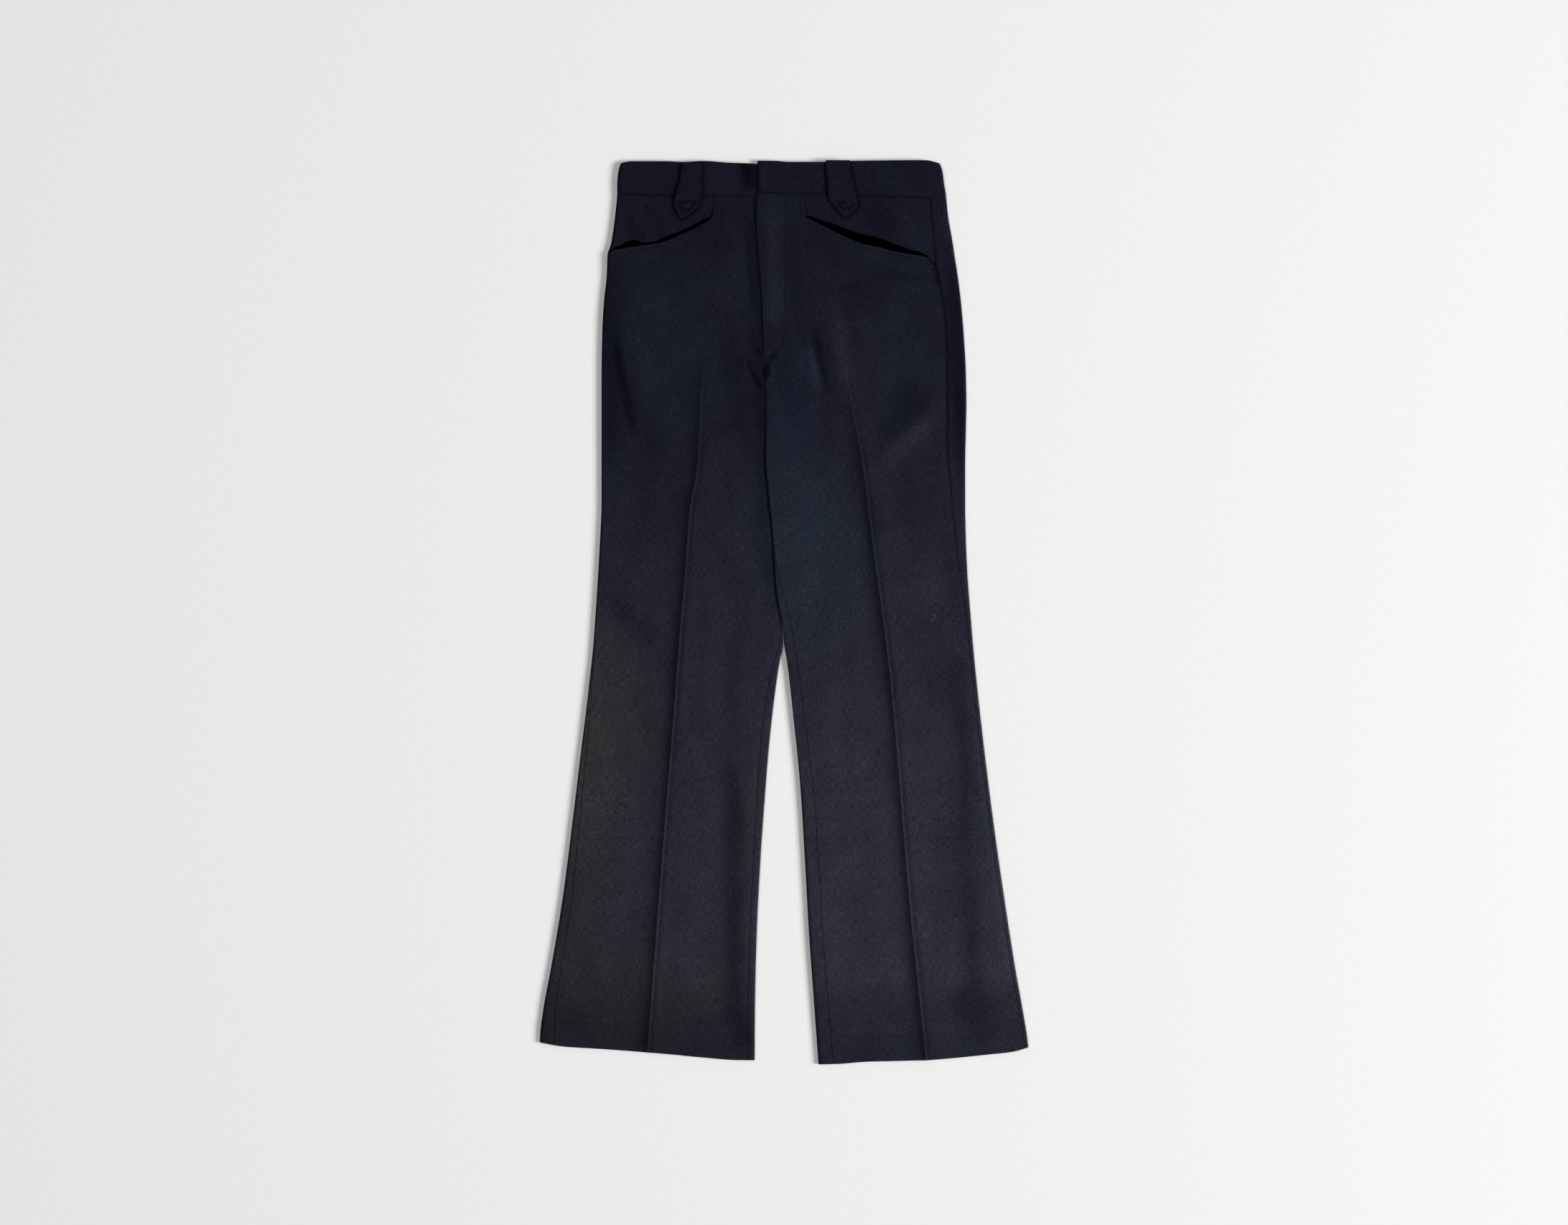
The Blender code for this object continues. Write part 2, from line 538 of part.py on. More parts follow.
def front_columns(ring):
    """Places of a front's columns, close together at its two seams and at the crease."""
    leg = ring.leg
    y = ring.y
    half = 0.5 * SEAM_GAP
    closed = y < FORK_Y + 1.0
    start = leg.outseam(y) + half
    stop = ring.top_length - np.where(closed, leg.inseam(y) + half, 0.0)
    crease_w = leg.inwards * (leg.crease(y) - leg.outer(y))
    crease = crease_w - ring.start + ring.out_arc
    places = [start + step for step in SEAM_SIDE_STEPS]
    before = crease + CREASE_STEPS[0]
    places += [places[-1] + (before - places[-1]) * f for f in OUTSIDE_FRACTIONS]
    places += [crease + step for step in CREASE_STEPS]
    last = [stop - step for step in reversed(SEAM_SIDE_STEPS)]
    places += [places[-1] + (last[0] - places[-1]) * f for f in INSIDE_FRACTIONS]
    return places + last


def back_columns(ring):
    """Places of a back's columns, given from the inner edge, close together round the folds."""
    leg = ring.leg
    y = ring.y
    half = 0.5 * SEAM_GAP
    closed = y < FORK_Y + 1.0
    inseam = np.where(closed, leg.inseam(y) - half, 0.0)
    reach = np.maximum(inseam, LEAST_SEAM - half)
    bend = 0.5 * np.pi * ring.in_radius
    near = np.minimum(bend, 0.67 * reach)
    places = [-inseam, -inseam + (reach - near), -inseam + reach - 0.5 * near, -inseam + reach]
    places += [places[-1] + 0.5 * bend, places[-1] + bend]
    outer = ring.bottom_length
    run = outer - ring.out_arc - places[-1]
    places += [places[-1] + run * f for f in UNDER_FRACTIONS]
    outseam = leg.outseam(y) - half
    near = np.minimum(ring.out_arc, 0.67 * outseam)
    return places + [outer - 0.5 * ring.out_arc, outer, outer + 0.5 * near, outer + near,
                     outer + outseam]


def settle_rows(leg, kind):
    """Heights of the rows and the ring at each point of a panel."""
    columns = front_columns if kind == "front" else back_columns

    def place(y):
        ring = Ring(leg, y, CLOTH)
        found = np.stack([at[:, i] for i, at in enumerate(columns(ring))], axis=1)
        side = ring.upper(found) if kind == "front" else ring.under(found)
        return side[0]

    first = Ring(leg, np.array(ROWS)[:, None] * np.ones((1, 1)), CLOTH)
    return row_heights(leg, kind, len(columns(first)), place)


def walls(leg, y, w, z, normal_w, normal_z, wall, extra=0.0):
    """Outer and inner points of a wall round its middle line, in millimetres."""
    outer = np.stack([leg.x(y, w + 0.5 * wall * normal_w), y, z + 0.5 * wall * normal_z], axis=-1)
    inside = 0.5 * wall + extra
    inner = np.stack([leg.x(y, w - inside * normal_w), y, z - inside * normal_z], axis=-1)
    return outer, inner


def hem_extra(leg, y, x):
    """The hem's second layer, over its own depth."""
    return HEM_EXTRA * ease((leg.hem(x) + HEM_DEPTH + 2.0 - y) / HEM_RAMP)


def solid(name, outer, inner, colour, keep=None):
    """One closed solid between an outer and an inner grid of points, rimmed where it ends."""
    rows, columns = outer.shape[:2]
    keep = np.ones((rows - 1, columns - 1), bool) if keep is None else keep
    mesh = bmesh.new()
    made = {}

    def vertex(layer, i, j):
        if (layer, i, j) not in made:
            points = outer if layer == "outer" else inner
            made[layer, i, j] = mesh.verts.new(points[i, j] * MM)
        return made[layer, i, j]

    sides = {}
    for i in range(rows - 1):
        for j in range(columns - 1):
            if not keep[i, j]:
                continue
            corners = [(i, j), (i, j + 1), (i + 1, j + 1), (i + 1, j)]
            mesh.faces.new([vertex("outer", *corner) for corner in corners])
            mesh.faces.new([vertex("inner", *corner) for corner in reversed(corners)])
            for k in range(4):
                side = (corners[k], corners[(k + 1) % 4])
                if side[::-1] in sides:
                    del sides[side[::-1]]
                else:
                    sides[side] = True
    for a, b in sides:
        mesh.faces.new([vertex("outer", *b), vertex("outer", *a),
                        vertex("inner", *a), vertex("inner", *b)])
    bmesh.ops.recalc_face_normals(mesh, faces=mesh.faces)
    bmesh.ops.triangulate(mesh, faces=mesh.faces)
    data = bpy.data.meshes.new(name)
    mesh.to_mesh(data)
    mesh.free()
    data.shade_smooth()
    data.set_sharp_from_angle(angle=np.radians(SHARP_DEGREES))
    made_object = bpy.data.objects.new(name, data)
    bpy.context.scene.collection.objects.link(made_object)
    made_object.data.materials.append(cloth_material(name, colour))
    return made_object


def cloth_material(name, colour):
    material = bpy.data.materials.new(name)
    material.use_nodes = True
    shader = material.node_tree.nodes["Principled BSDF"]
    shader.inputs["Base Color"].default_value = (*colour, 1.0)
    shader.inputs["Roughness"].default_value = CLOTH_ROUGHNESS
    shader.inputs["Metallic"].default_value = 0.0
    return material


def front_height(leg, y, w, z):
    """Adds to a front's middle height its folds, its fly edge and its lifted pocket edge."""
    x = leg.x(y, w)
    z = z + leg.relief(y, w)
    if leg.name == "right":
        sink = UNDERLAP_SINK * ease((y - SINK_END_Y) / SINK_RAMP)
        z = z - sink * ease((x - leg.fly(y) + SINK_START) / SINK_REACH)
    else:
        rise = FLY_RISE * ease((y - SINK_END_Y) / SINK_RAMP)
        z = z + rise * np.exp(-np.maximum(x - leg.fly(y), 0.0) / FLY_RISE_REACH)
    below = np.maximum(leg.slit(x) - y, 0.0)
    pocket_side = ease(leg.inwards * (leg.crease(y) - x) / POCKET_SIDE_RAMP)
    lift = POCKET_LIFT[leg.name] * pocket_side * np.exp(-below / POCKET_LIFT_REACH)
    return z + lift * ease((y - POCKET_LIFT_Y) / POCKET_LIFT_RAMP)


def make_front(leg):
    y = settle_rows(leg, "front")
    ring = Ring(leg, y, CLOTH)
    t = np.stack([at[:, i] for i, at in enumerate(front_columns(ring))], axis=1)
    w, z, normal_w, normal_z = ring.upper(t)
    z = front_height(leg, y, w, z)
    outer, inner = walls(leg, y, w, z, normal_w, normal_z, CLOTH, hem_extra(leg, y, leg.x(y, w)))
    rows, columns = y.shape
    keep = np.ones((rows - 1, columns - 1), bool)
    corner = len(SEAM_SIDE_STEPS) + len(OUTSIDE_FRACTIONS) + CREASE_STEPS.index(0.0)
    keep[len(ROWS) + len(SLIT_STEPS) - 1:, :corner] = False
    return solid(f"front_{leg.name}", outer, inner, BLACK_SUITING, keep)


def make_back(leg):
    y = settle_rows(leg, "back")
    ring = Ring(leg, y, CLOTH)
    q = np.stack([at[:, i] for i, at in enumerate(back_columns(ring))], axis=1)
    w, z, normal_w, normal_z = ring.under(q)
    upper = normal_z > 0.5
    z = z + np.where(upper, leg.relief(y, w), 0.0)
    outer, inner = walls(leg, y, w, z, normal_w, normal_z, CLOTH, hem_extra(leg, y, leg.x(y, w)))
    return solid(f"back_{leg.name}", outer, inner, BLACK_SUITING)


def yoke_drop(leg, x, y):
    """How far the yoke lies below the front's level: most along the pocket opening."""
    above = np.maximum(y - leg.yoke_edge(x), 0.0)
    return YOKE_SINK + YOKE_DROP * np.exp(-above / POCKET_LIFT_REACH)


def yoke_grid(leg, fractions, steps, low, high):
    """Side positions, heights and middle levels of a grid over the pocket opening.

    The fractions run from the side seam to the seam beside the fly; low and high give the
    grid's lower and upper edge from a side position.
    """
    y = np.full((len(steps), len(fractions)), YOKE_MID_Y)
    across = np.asarray(fractions)[None, :]
    up = np.asarray(steps)[:, None]
    for _ in range(SETTLE_ROUNDS):
        ring = Ring(leg, y, CLOTH)
        start = leg.outseam(y) + 0.5 * SEAM_GAP
        seam_w = leg.inwards * (leg.crease(y) - leg.outer(y))
        stop = seam_w - ring.start + ring.out_arc - SEAM_GAP
        t = start + across * (stop - start)
        w, z, normal_w, normal_z = ring.upper(t)
        x = leg.x(y, w)
        y = low(x) + up * (high(x) - low(x))
    return x, y, w, z, normal_w, normal_z


def make_yoke(leg):
    x, y, w, z, normal_w, normal_z = yoke_grid(
        leg, YOKE_FRACTIONS, YOKE_STEPS, leg.yoke_edge,
        lambda across: leg.band_seam(across) - 0.5 * SEAM_GAP)
    inward = ease((w - YOKE_SINK_START) / YOKE_SINK_RAMP)
    z = z + leg.relief(y, w) - yoke_drop(leg, x, y) * inward
    outer, inner = walls(leg, y, w, z, normal_w, normal_z, CLOTH)
    return solid(f"pocket_yoke_{leg.name}", outer, inner, BLACK_SUITING)


def make_pocketing(leg):
    """The pocket's own cloth, which shows black in the opening."""
    x, y = yoke_grid(
        leg, POCKETING_FRACTIONS, POCKETING_STEPS,
        lambda across: leg.slit(across) - POCKET_REACH_LOW,
        lambda across: leg.yoke_edge(across) + POCKET_REACH_HIGH)[:2]
    points = np.stack([x, y, np.full_like(x, POCKETING_MID)], axis=-1)
    half = np.array([0.0, 0.0, 0.5 * POCKET_CLOTH])
    return solid(f"pocketing_{leg.name}", points + half, points - half, POCKET_BLACK)


def back_loop_lift(x):
    """How far a belt loop under it lifts the back of the waistband."""
    total = np.zeros(np.shape(x))
    for centre in BACK_LOOPS.values():
        off = np.abs(x - centre) - 0.5 * BACK_LOOP_WIDTH - LOOP_SLOPE_START
        total = np.maximum(total, BACK_LOOP_LIFT * ease(1.0 - off / LOOP_SLOPE))
    return total


def band_places(leg, ring):
    """Places along the waistband, from the fly round the side to the centre back.

    They are distances from the outer fold edge, below zero on the front.
    """
    places = [step - ring.top_length for step in BAND_END_STEPS]
    run = ring.top_length - BAND_END_STEPS[-1] - BAND_TURN_STEP
    places += [places[-1] + run * f for f in BAND_FRACTIONS]
    places += [ring.out_arc * f for f in BAND_TURN_FRACTIONS]
    places.append(places[-1] + BAND_TURN_STEP)
    half = 0.5 * BACK_LOOP_WIDTH
    slope = (half + LOOP_SLOPE_START + LOOP_SLOPE, half + LOOP_SLOPE_START)
    for centre in (BACK_LOOPS[leg.name], BACK_LOOPS["centre"]):
        for off in (-slope[0], -slope[1], slope[1], slope[0]):
            place = leg.inwards * (centre - leg.outer(ring.y)) + off - ring.start + ring.out_arc
            if np.all(place < ring.bottom_length - 1.0):
                places.append(place)
    return places + [ring.bottom_length]


def make_band(leg):
    """One half of the waistband: over the front, round the side and along the back."""
    rise = np.array(BAND_RISE)[:, None]
    lap = 0.0 if leg.name == "left" else BAND_UNDERLAP
    y = np.full((len(rise), 1), BAND_MID_Y)
    for _ in range(SETTLE_ROUNDS - 1):
        ring = Ring(leg, y, BAND_CLOTH, level=BAND_FRONT_TOP)
        middle = leg.fly(y)
        ring.top_end = np.abs(middle - leg.outer(y)) + lap
        ring.bottom_end = np.abs(BACK_CENTRE_TOP_X - leg.outer(y)) - 0.5 * SEAM_GAP
        ring.top_length = ring.out_arc + ring.top_end - ring.start
        ring.bottom_length = ring.out_arc + ring.bottom_end - ring.start
        places = band_places(leg, ring)
        t = np.stack([-at[:, 0 if at.shape[1] == 1 else i] for i, at in enumerate(places)], axis=1)
        if y.shape[1] == 1:
            y = np.repeat(y, len(places), axis=1)
            continue
        w, z, normal_w, normal_z = ring.upper(t)
        x = leg.x(y, w)
        under = ease((-t - ring.out_arc) / UNDER_BAND_RAMP)
        low = leg.band_seam(x) + 0.5 * SEAM_GAP
        high = leg.band_top(x) - UNDER_BAND_DROP * under
        y = low + rise * (high - low)
    front = t > ring.out_arc
    z = z + np.where(t < -ring.out_arc, back_loop_lift(x), 0.0)
    if leg.name == "right":
        near_fly = ease((x - leg.fly(y) + SINK_REACH) / BAND_SINK_REACH)
        z = z - np.where(front, BAND_SINK * near_fly, 0.0)
    wall = BAND_CLOTH * np.where((rise == 0.0) | (rise == 1.0), BAND_EDGE, 1.0)
    outer, inner = walls(leg, y, w, z, normal_w, normal_z, wall)
    return solid(f"waistband_{leg.name}", outer, inner, BLACK_SUITING)


def surface_under_loop(leg, x, y):
    """Height of the upper face of the waistband, or of the yoke below it, at a place."""
    w = leg.inwards * (x - leg.outer(y))
    ring = Ring(leg, y, CLOTH)
    yoke = ring.level(w) + leg.relief(y, w) - yoke_drop(leg, x, y) + 0.5 * CLOTH
    over_band = ease((y - leg.band_seam(x) + LOOP_STEP) / LOOP_STEP)
    return yoke + (BAND_FRONT_TOP - yoke) * over_band


def make_front_loop(leg):
    """A wide belt loop with a pointed end, from above the waistband to below its seam."""
    strips = FRONT_LOOP_LEFT if leg.name == "left" else FRONT_LOOP_RIGHT
    across = np.array(LOOP_FRACTIONS)[None, :]
    thin = np.where((across == 0.0) | (across == 1.0), BAND_EDGE, 1.0)
    low = np.array([strip.x1 for strip in strips])[:, None]
    high = np.array([strip.x2 for strip in strips])[:, None]
    x = low + across * (high - low)
    y = np.array([strip.y for strip in strips])[:, None] + 0.0 * x
    base = surface_under_loop(leg, x, y) + SEAM_GAP + LOOP_CLEARANCE
    low_end = ease((y - LOOP_LOW_Y) / LOOP_ARCH_RAMP)
    arch = LOOP_ARCH * ease((LOOP_TOP_Y - y) / LOOP_ARCH_RAMP) * low_end
    top = base + arch + 0.5 * LOOP_CLOTH * (1.0 + thin)
    bottom = base + arch + 0.5 * LOOP_CLOTH * (1.0 - thin)
    outer = np.stack([x, y, top], axis=-1)
    inner = np.stack([x, y, bottom], axis=-1)
    return solid(f"belt_loop_front_{leg.name}", outer, inner, BLACK_SUITING)


def make_back_loop(place, centre, leg):
    """A plain belt loop between the surface and the back of the waistband."""
    across = np.array(BACK_LOOP_FRACTIONS)[None, :] * BACK_LOOP_WIDTH
    up = np.array(BACK_LOOP_RISE)[:, None]
    x = centre + across + 0.0 * up
    low = leg.band_seam(centre) + BACK_LOOP_INSET
    high = leg.band_top(centre) - BACK_LOOP_TOP
    y = low + up * (high - low) + 0.0 * x
    edge = np.abs(across) == 0.5 * BACK_LOOP_WIDTH
    top = np.where(edge, BACK_LOOP_EDGE, 1.0) * BACK_LOOP_CLOTH + 0.0 * y
    outer = np.stack([x, y, top], axis=-1)
    inner = np.stack([x, y, 0.0 * y], axis=-1)
    return solid(f"belt_loop_back_{place}", outer, inner, BLACK_SUITING)


def main():
    for old in list(bpy.data.objects):
        bpy.data.objects.remove(old, do_unlink=True)
    legs = {name: Leg(name) for name in ("right", "left")}
    for leg in legs.values():
        make_front(leg)
        make_back(leg)
        make_yoke(leg)
        make_pocketing(leg)
        make_band(leg)
        make_front_loop(leg)
    for place, centre in BACK_LOOPS.items():
        make_back_loop(place, centre, legs["left" if place == "left" else "right"])


main()
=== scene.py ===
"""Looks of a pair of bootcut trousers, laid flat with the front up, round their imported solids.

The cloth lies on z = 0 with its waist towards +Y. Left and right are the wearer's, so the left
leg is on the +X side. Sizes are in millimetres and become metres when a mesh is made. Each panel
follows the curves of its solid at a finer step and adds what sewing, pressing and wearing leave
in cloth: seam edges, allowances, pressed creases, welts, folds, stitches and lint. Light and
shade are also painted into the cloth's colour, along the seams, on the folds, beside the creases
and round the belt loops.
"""

from __future__ import annotations

import logging
import math
from dataclasses import dataclass, field
from enum import Enum
from functools import partial
from typing import Callable, NamedTuple, Sequence, TypeVar

import bpy
import numpy as np
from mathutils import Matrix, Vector
from mathutils.bvhtree import BVHTree


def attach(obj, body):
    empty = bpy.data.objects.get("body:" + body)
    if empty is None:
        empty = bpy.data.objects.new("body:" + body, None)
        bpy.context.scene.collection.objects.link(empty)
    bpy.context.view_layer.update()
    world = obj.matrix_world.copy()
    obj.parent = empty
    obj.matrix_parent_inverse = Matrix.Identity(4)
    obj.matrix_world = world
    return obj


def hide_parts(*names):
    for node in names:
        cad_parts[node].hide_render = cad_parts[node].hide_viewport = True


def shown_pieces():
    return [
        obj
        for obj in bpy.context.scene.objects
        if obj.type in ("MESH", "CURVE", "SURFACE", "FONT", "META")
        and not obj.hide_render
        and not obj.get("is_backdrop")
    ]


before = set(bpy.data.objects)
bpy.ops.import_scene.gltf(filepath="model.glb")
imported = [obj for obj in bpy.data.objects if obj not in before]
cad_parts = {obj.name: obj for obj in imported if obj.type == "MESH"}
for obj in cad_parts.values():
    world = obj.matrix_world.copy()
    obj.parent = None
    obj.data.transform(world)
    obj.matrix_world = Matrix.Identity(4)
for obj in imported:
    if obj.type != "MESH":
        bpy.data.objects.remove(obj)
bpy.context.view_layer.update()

log = logging.getLogger("trousers")
Array = np.ndarray
Piece = bpy.types.Object
Finish = bpy.types.Material

BODY = "root"
MM = 0.001
CLOTH = 1.3  # wall of one layer of suiting with its pressed seams
BAND_CLOTH = 2.0  # wall of the waistband, which is two layers and a stiffener
POCKET_CLOTH = 1.0
LOOP_CLOTH = 1.8
BACK_LOOP_CLOTH = 1.6
LEG_GAP = 0.12  # between the two legs' inner edges, which touch in the real cloth
SETTLE_ROUNDS = 6  # rounds in which rows that follow their own places settle
SEAM_GAP = 0.12  # drawn closer than the solids lie, as sewing pulls seams
FOLD_SHARE = 1.45  # small folds stand this much higher than their table says
FOLD_PAINTED_LIGHT = 0.34  # painted light: how much lighter a fold's top, and darker a trough, is for each millimetre
FORK_Y = 259.2  # where the four inner seams meet
CLOSE_Y = 297.0  # above this the fronts and the backs meet edge to edge
LEAST_SEAM = 0.9  # a seam on a fold edge lies this far round it, on the upper side
HEM_Y = -508.0
HEM_DEPTH = 30.0
HEM_EXTRA = 0.8  # the turned-up hem thickens the wall inwards by this
HEM_SHADE_Y = -410.0  # below this the cloth is darker, as the light falls off
HEM_CURVE_Y = -400.0  # rows below this bend towards the curve of the hem
BAND_FRONT_TOP = 6.7  # upper face of the front of the waistband
BAND_MID_Y = 512.0
UNDERLAP = 12.0  # how far the right front runs under the left one at the fly
UNDERLAP_SINK = 1.46
UNDERLAP_END_Y = 318.0
SINK_END_Y = 303.0
BAND_UNDERLAP = 13.0
BAND_SINK = 2.15
SLIT_SIDE_Y = 420.0  # about where the pocket opening meets the side seam
SLIT_ROW_Y = 385.0  # rows above this bend towards the pocket opening
POCKET_CORNER_Y = 467.0
YOKE_MID_Y = 460.0
TOP_Y = 493.0
POCKETING_MID = 2.3  # middle height of the pocket cloth, under the yoke and the front
YOKE_DROP = 1.2  # how far the yoke sinks along the pocket opening
BACK_LOOP_WIDTH = 15.0
BACK_LOOP_LIFT = 1.95
BACK_LOOP_INSET = 3.0  # a back loop starts this far above the waistband seam
LOOP_SLOPE_START = 0.8  # the waistband comes down to the surface beside a back loop over
LOOP_SLOPE = 3.8  # this distance and slope
INNER_CORNER = 0.62  # below 1 the legs' inner edges are fuller than a circle
FORK_FULLER = 0.2  # and so much fuller still near the fork, where they are sewn
EDGE_REACH = 12.0  # a fold edge's own height fades out over this distance
BACK_CENTRE_TOP_X = -4.2
LOOP_SHADE = 2.5  # painted shadow: how much darker the cloth is right beside a front belt loop
POCKET_STITCH = 3.7  # distance of the stitch line from the pocket opening


class Edges(NamedTuple):
    """A pair of fold edges at one height, the outer or the inner ones."""

    y: float
    right: float
    left: float


class Place(NamedTuple):
    """A value or a side position that changes with height."""

    y: float
    value: float


class Point(NamedTuple):
    """A point of an edge that crosses the garment."""

    x: float
    y: float


class Fold(NamedTuple):
    """A soft ridge, or a trough where its height is below zero."""

    x1: float
    y1: float
    x2: float
    y2: float
    width: float
    height: float


class Strip(NamedTuple):
    """The two sides of a belt loop at one height."""

    y: float
    x1: float
    x2: float


class Mark(NamedTuple):
    """A short line on the cloth, such as a tack or a bit of lint, and how wide it is."""

    x1: float
    y1: float
    x2: float
    y2: float
    width: float


Row = TypeVar("Row")


def table(kind: Callable[..., Row], rows: Sequence[tuple[float, ...]]) -> tuple[Row, ...]:
    """Rows of plain numbers as rows of a named kind."""
    return tuple(kind(*map(float, row)) for row in rows)


def both(kind: Callable[..., Row], right: Sequence[tuple[float, ...]],
         left: Sequence[tuple[float, ...]]) -> dict[str, tuple[Row, ...]]:
    """The tables of the wearer's right and left side by the side's name."""
    return {"right": table(kind, right), "left": table(kind, left)}


OUTLINE = table(Edges, (
    (534.6, -190.5, 180), (531, -193.2, 184), (521, -196, 187.4), (508, -197.2, 189.2),
    (495.6, -197.4, 191.2), (470, -199.8, 193.8), (436, -204.8, 199.6), (422, -209, 201.6),
    (402, -209.6, 204.8), (368, -213, 209.1), (334, -215, 212.1), (283, -215.9, 215),
    (249, -215.9, 215.6), (215, -215.9, 215), (172, -215.9, 214.2), (130, -215.9, 214.2),
    (87.5, -217.6, 215), (45, -220, 216.9), (2.5, -222.7, 220.1), (-40, -225.8, 223.6),
    (-91, -231.2, 228.7), (-167.4, -240.5, 237.4), (-252.4, -250.8, 248.2),
    (-337.4, -261.8, 260.4), (-422.4, -276, 273.7), (-464.9, -284, 281.3), (-498.9, -288.4, 287),
    (-515, -289, 289),
))
INNER = table(Edges, (
    (320, -24.4, -24.4), (FORK_Y, -22.2, -22.2), (217.6, -22, -22), (186.2, -22.8, -22.8),
    (138.5, -18.9, -18.9), (91.8, -14.1, -14.1), (28.9, -9.9, -9.9), (-22.9, -2.4, -1.6),
    (-37.4, -1.6, 0), (-56.9, -5.1, 3.4), (-91, -10.2, 7.6), (-125, -14.4, 11.2),
    (-167.4, -18.7, 15.8), (-209.9, -22.1, 19.6), (-294.9, -28.1, 24.8), (-379.9, -32.3, 29.6),
    (-464.9, -34.4, 35.7), (-533, -34.9, 40.8),
))
FLY_EDGE = table(Place, (
    (533, -31.4), (495, -32.3), (466.6, -33.1), (379, -27.2), (334.9, -25.5), (303.4, -23.9),
    (FORK_Y, -22.2),
))
BACK_CENTRE = table(Place, ((495, BACK_CENTRE_TOP_X), (380, -10), (FORK_Y, -22.2)))

# The crease of each leg, and above it the line that runs on to the corner of the pocket
CREASE = both(Place, (
    (495, -81.6), (467, -85.6), (400, -92), (270.3, -97.6), (170.8, -102.6), (123.2, -111),
    (45, -116.8), (-17.8, -122.4), (-119.8, -130.2), (-264.3, -142), (-360.8, -149.4),
    (-518.5, -161.5),
), (
    (495, 23.8), (467, 26.8), (400, 46), (310, 68), (253.3, 78.2), (180.2, 92.4), (104.5, 102),
    (47.6, 109.6), (-51.9, 122.8), (-132.2, 131), (-232.5, 139.2), (-344.8, 148.8),
    (-441.1, 158.6), (-521, 167.4),
))
CREASE_HEIGHT = table(Place, (
    (300, 0), (262, 0.35), (200, 0.75), (60, 0.95), (-100, 1), (-400, 1), (-520, 0.9),
))
# How far each seam lies round from its fold edge, on the upper side
OUTSEAM = both(Place, (
    (495, 0.9), (-15, 0.9), (-120, 4.8), (-240, 8.2), (-345, 10.8), (-441, 12.5), (-515, 18.4),
), (
    (488, 19.4), (435.5, 22.6), (405, 24.2), (353, 21), (249, 22.9), (186, 21.2), (139, 16.8),
    (91, 12.8), (47.6, 9.8), (-2.5, 6), (-60, 4.8), (-515, 4.8),
))
INSEAM = both(Place, (
    (FORK_Y, 0.9), (-14, 0.9), (-60, 7.4), (-120, 10.8), (-220, 10), (-320, 8.6), (-515, 9),
), (
    (FORK_Y, 0.9), (76, 0.9), (40, 5.6), (-14, 11.4), (-140, 13.2), (-220, 15.6), (-441, 16.6),
    (-530, 17.6),
))
# Heights of the upper face over the surface, in the middle of a panel and at the fold edges
BODY_LEVEL = table(Place, ((495, 5.85), (300, 5.7), (200, 5.3), (60, 5.1), (-515, 5)))
OUTER_LEVEL = table(Place, ((495, 5.5), (300, 5.2), (100, 4.9), (-515, 4.7)))
INNER_LEVEL = both(Place, (
    (320, 5.7), (FORK_Y, 5.4), (217.6, 4.5), (186.2, 4), (138.5, 3.6), (28.9, 3.5), (-37.4, 3.8),
    (-91, 4.4), (-200, 4.7), (-515, 4.8),
), (
    (320, 5.7), (FORK_Y, 5.6), (186.2, 5.8), (-37.4, 5.5), (-91, 5), (-515, 4.8),
))
BAND_TOP = both(Point, (
    (-194, 531), (-180.2, 533.4), (-137.7, 533.4), (-120.7, 532.4), (-95.2, 533.6),
    (-61.2, 531.4), (-17, 530.2),
), (
    (-31.4, 534), (-10.2, 533.8), (6.8, 532.5), (40.8, 532.5), (83.3, 533.8), (168.3, 534.6),
    (182, 531.6),
))
BAND_SEAM = both(Point, (
    (-197, 495.6), (-137.7, 493.3), (-78.2, 493.3), (-17, 494.7),
), (
    (-32, 496.8), (40.8, 495.1), (87.5, 493.3), (190, 490.4),
))
HEM = both(Point, (
    (-289, -508.3), (-260.1, -513.2), (-219.3, -515.9), (-178.5, -518.7), (-137.7, -522.1),
    (-96.9, -526), (-56.1, -529.2), (-34.9, -529.4),
), (
    (40.8, -534.5), (66.3, -533.6), (96.9, -531.2), (127.5, -530.4), (168.3, -529.3),
    (198.9, -527), (239.7, -522.8), (270.3, -519.4), (289, -514.2),
))
# Upper edge of each front along its pocket opening, from the side seam to the corner
SLIT = both(Point, (
    (-208, 423.4), (-200, 428.6), (-192, 430.1), (-183, 431.8), (-166.8, 434.2), (-152.6, 435.9),
    (-140, 439.4), (-127.5, 444.3), (-105.4, 454.5), (-92, 461.6), (-85.6, 467),
), (
    (26.8, 467), (37, 461.8), (52.7, 453.6), (76.2, 442.5), (91.8, 436.2), (115.6, 431),
    (139.1, 425.2), (160, 421.7), (169, 419.9), (173.4, 416.2), (178.6, 409.4),
))
# Lower edge of the yoke, across the opening from the front's edge
YOKE_EDGE = both(Point, (
    (-208, 426), (-200, 432.4), (-192, 435.3), (-183, 440), (-177, 440.7), (-166.8, 437.7),
    (-160, 437.7), (-152.6, 439.2), (-140, 445.1), (-127.5, 449.4), (-115, 454.5),
    (-105.4, 459.5), (-96, 465), (-91, 466.6), (-85.6, 468.2),
), (
    (27, 469.6), (44.8, 464.1), (60.4, 458.9), (76.2, 453), (91.8, 447.9), (105, 445.2),
    (115.6, 442), (131.3, 435.9), (147, 430.1), (160, 426.6), (168, 422.9), (173.4, 417.9),
    (178.6, 411.8),
))
LARGE_FOLDS = table(Fold, (
    (-201.4, 329, -179.4, 217, 9, -0.7), (-46, 300, -30, 268, 7, 0.8), (27, 320, 39, 262, 8, 0.8),
    (44, 334, 58, 263, 8, -0.7), (66, 352, 68, 304, 16, 0.5), (109, 171, 178, 236, 12, 0.8),
    (116, 207, 166, 250, 15, -0.5), (-66, -180, -60, -481, 14, -0.6),
    (205, -40, 228, -481, 11, -0.5),
))
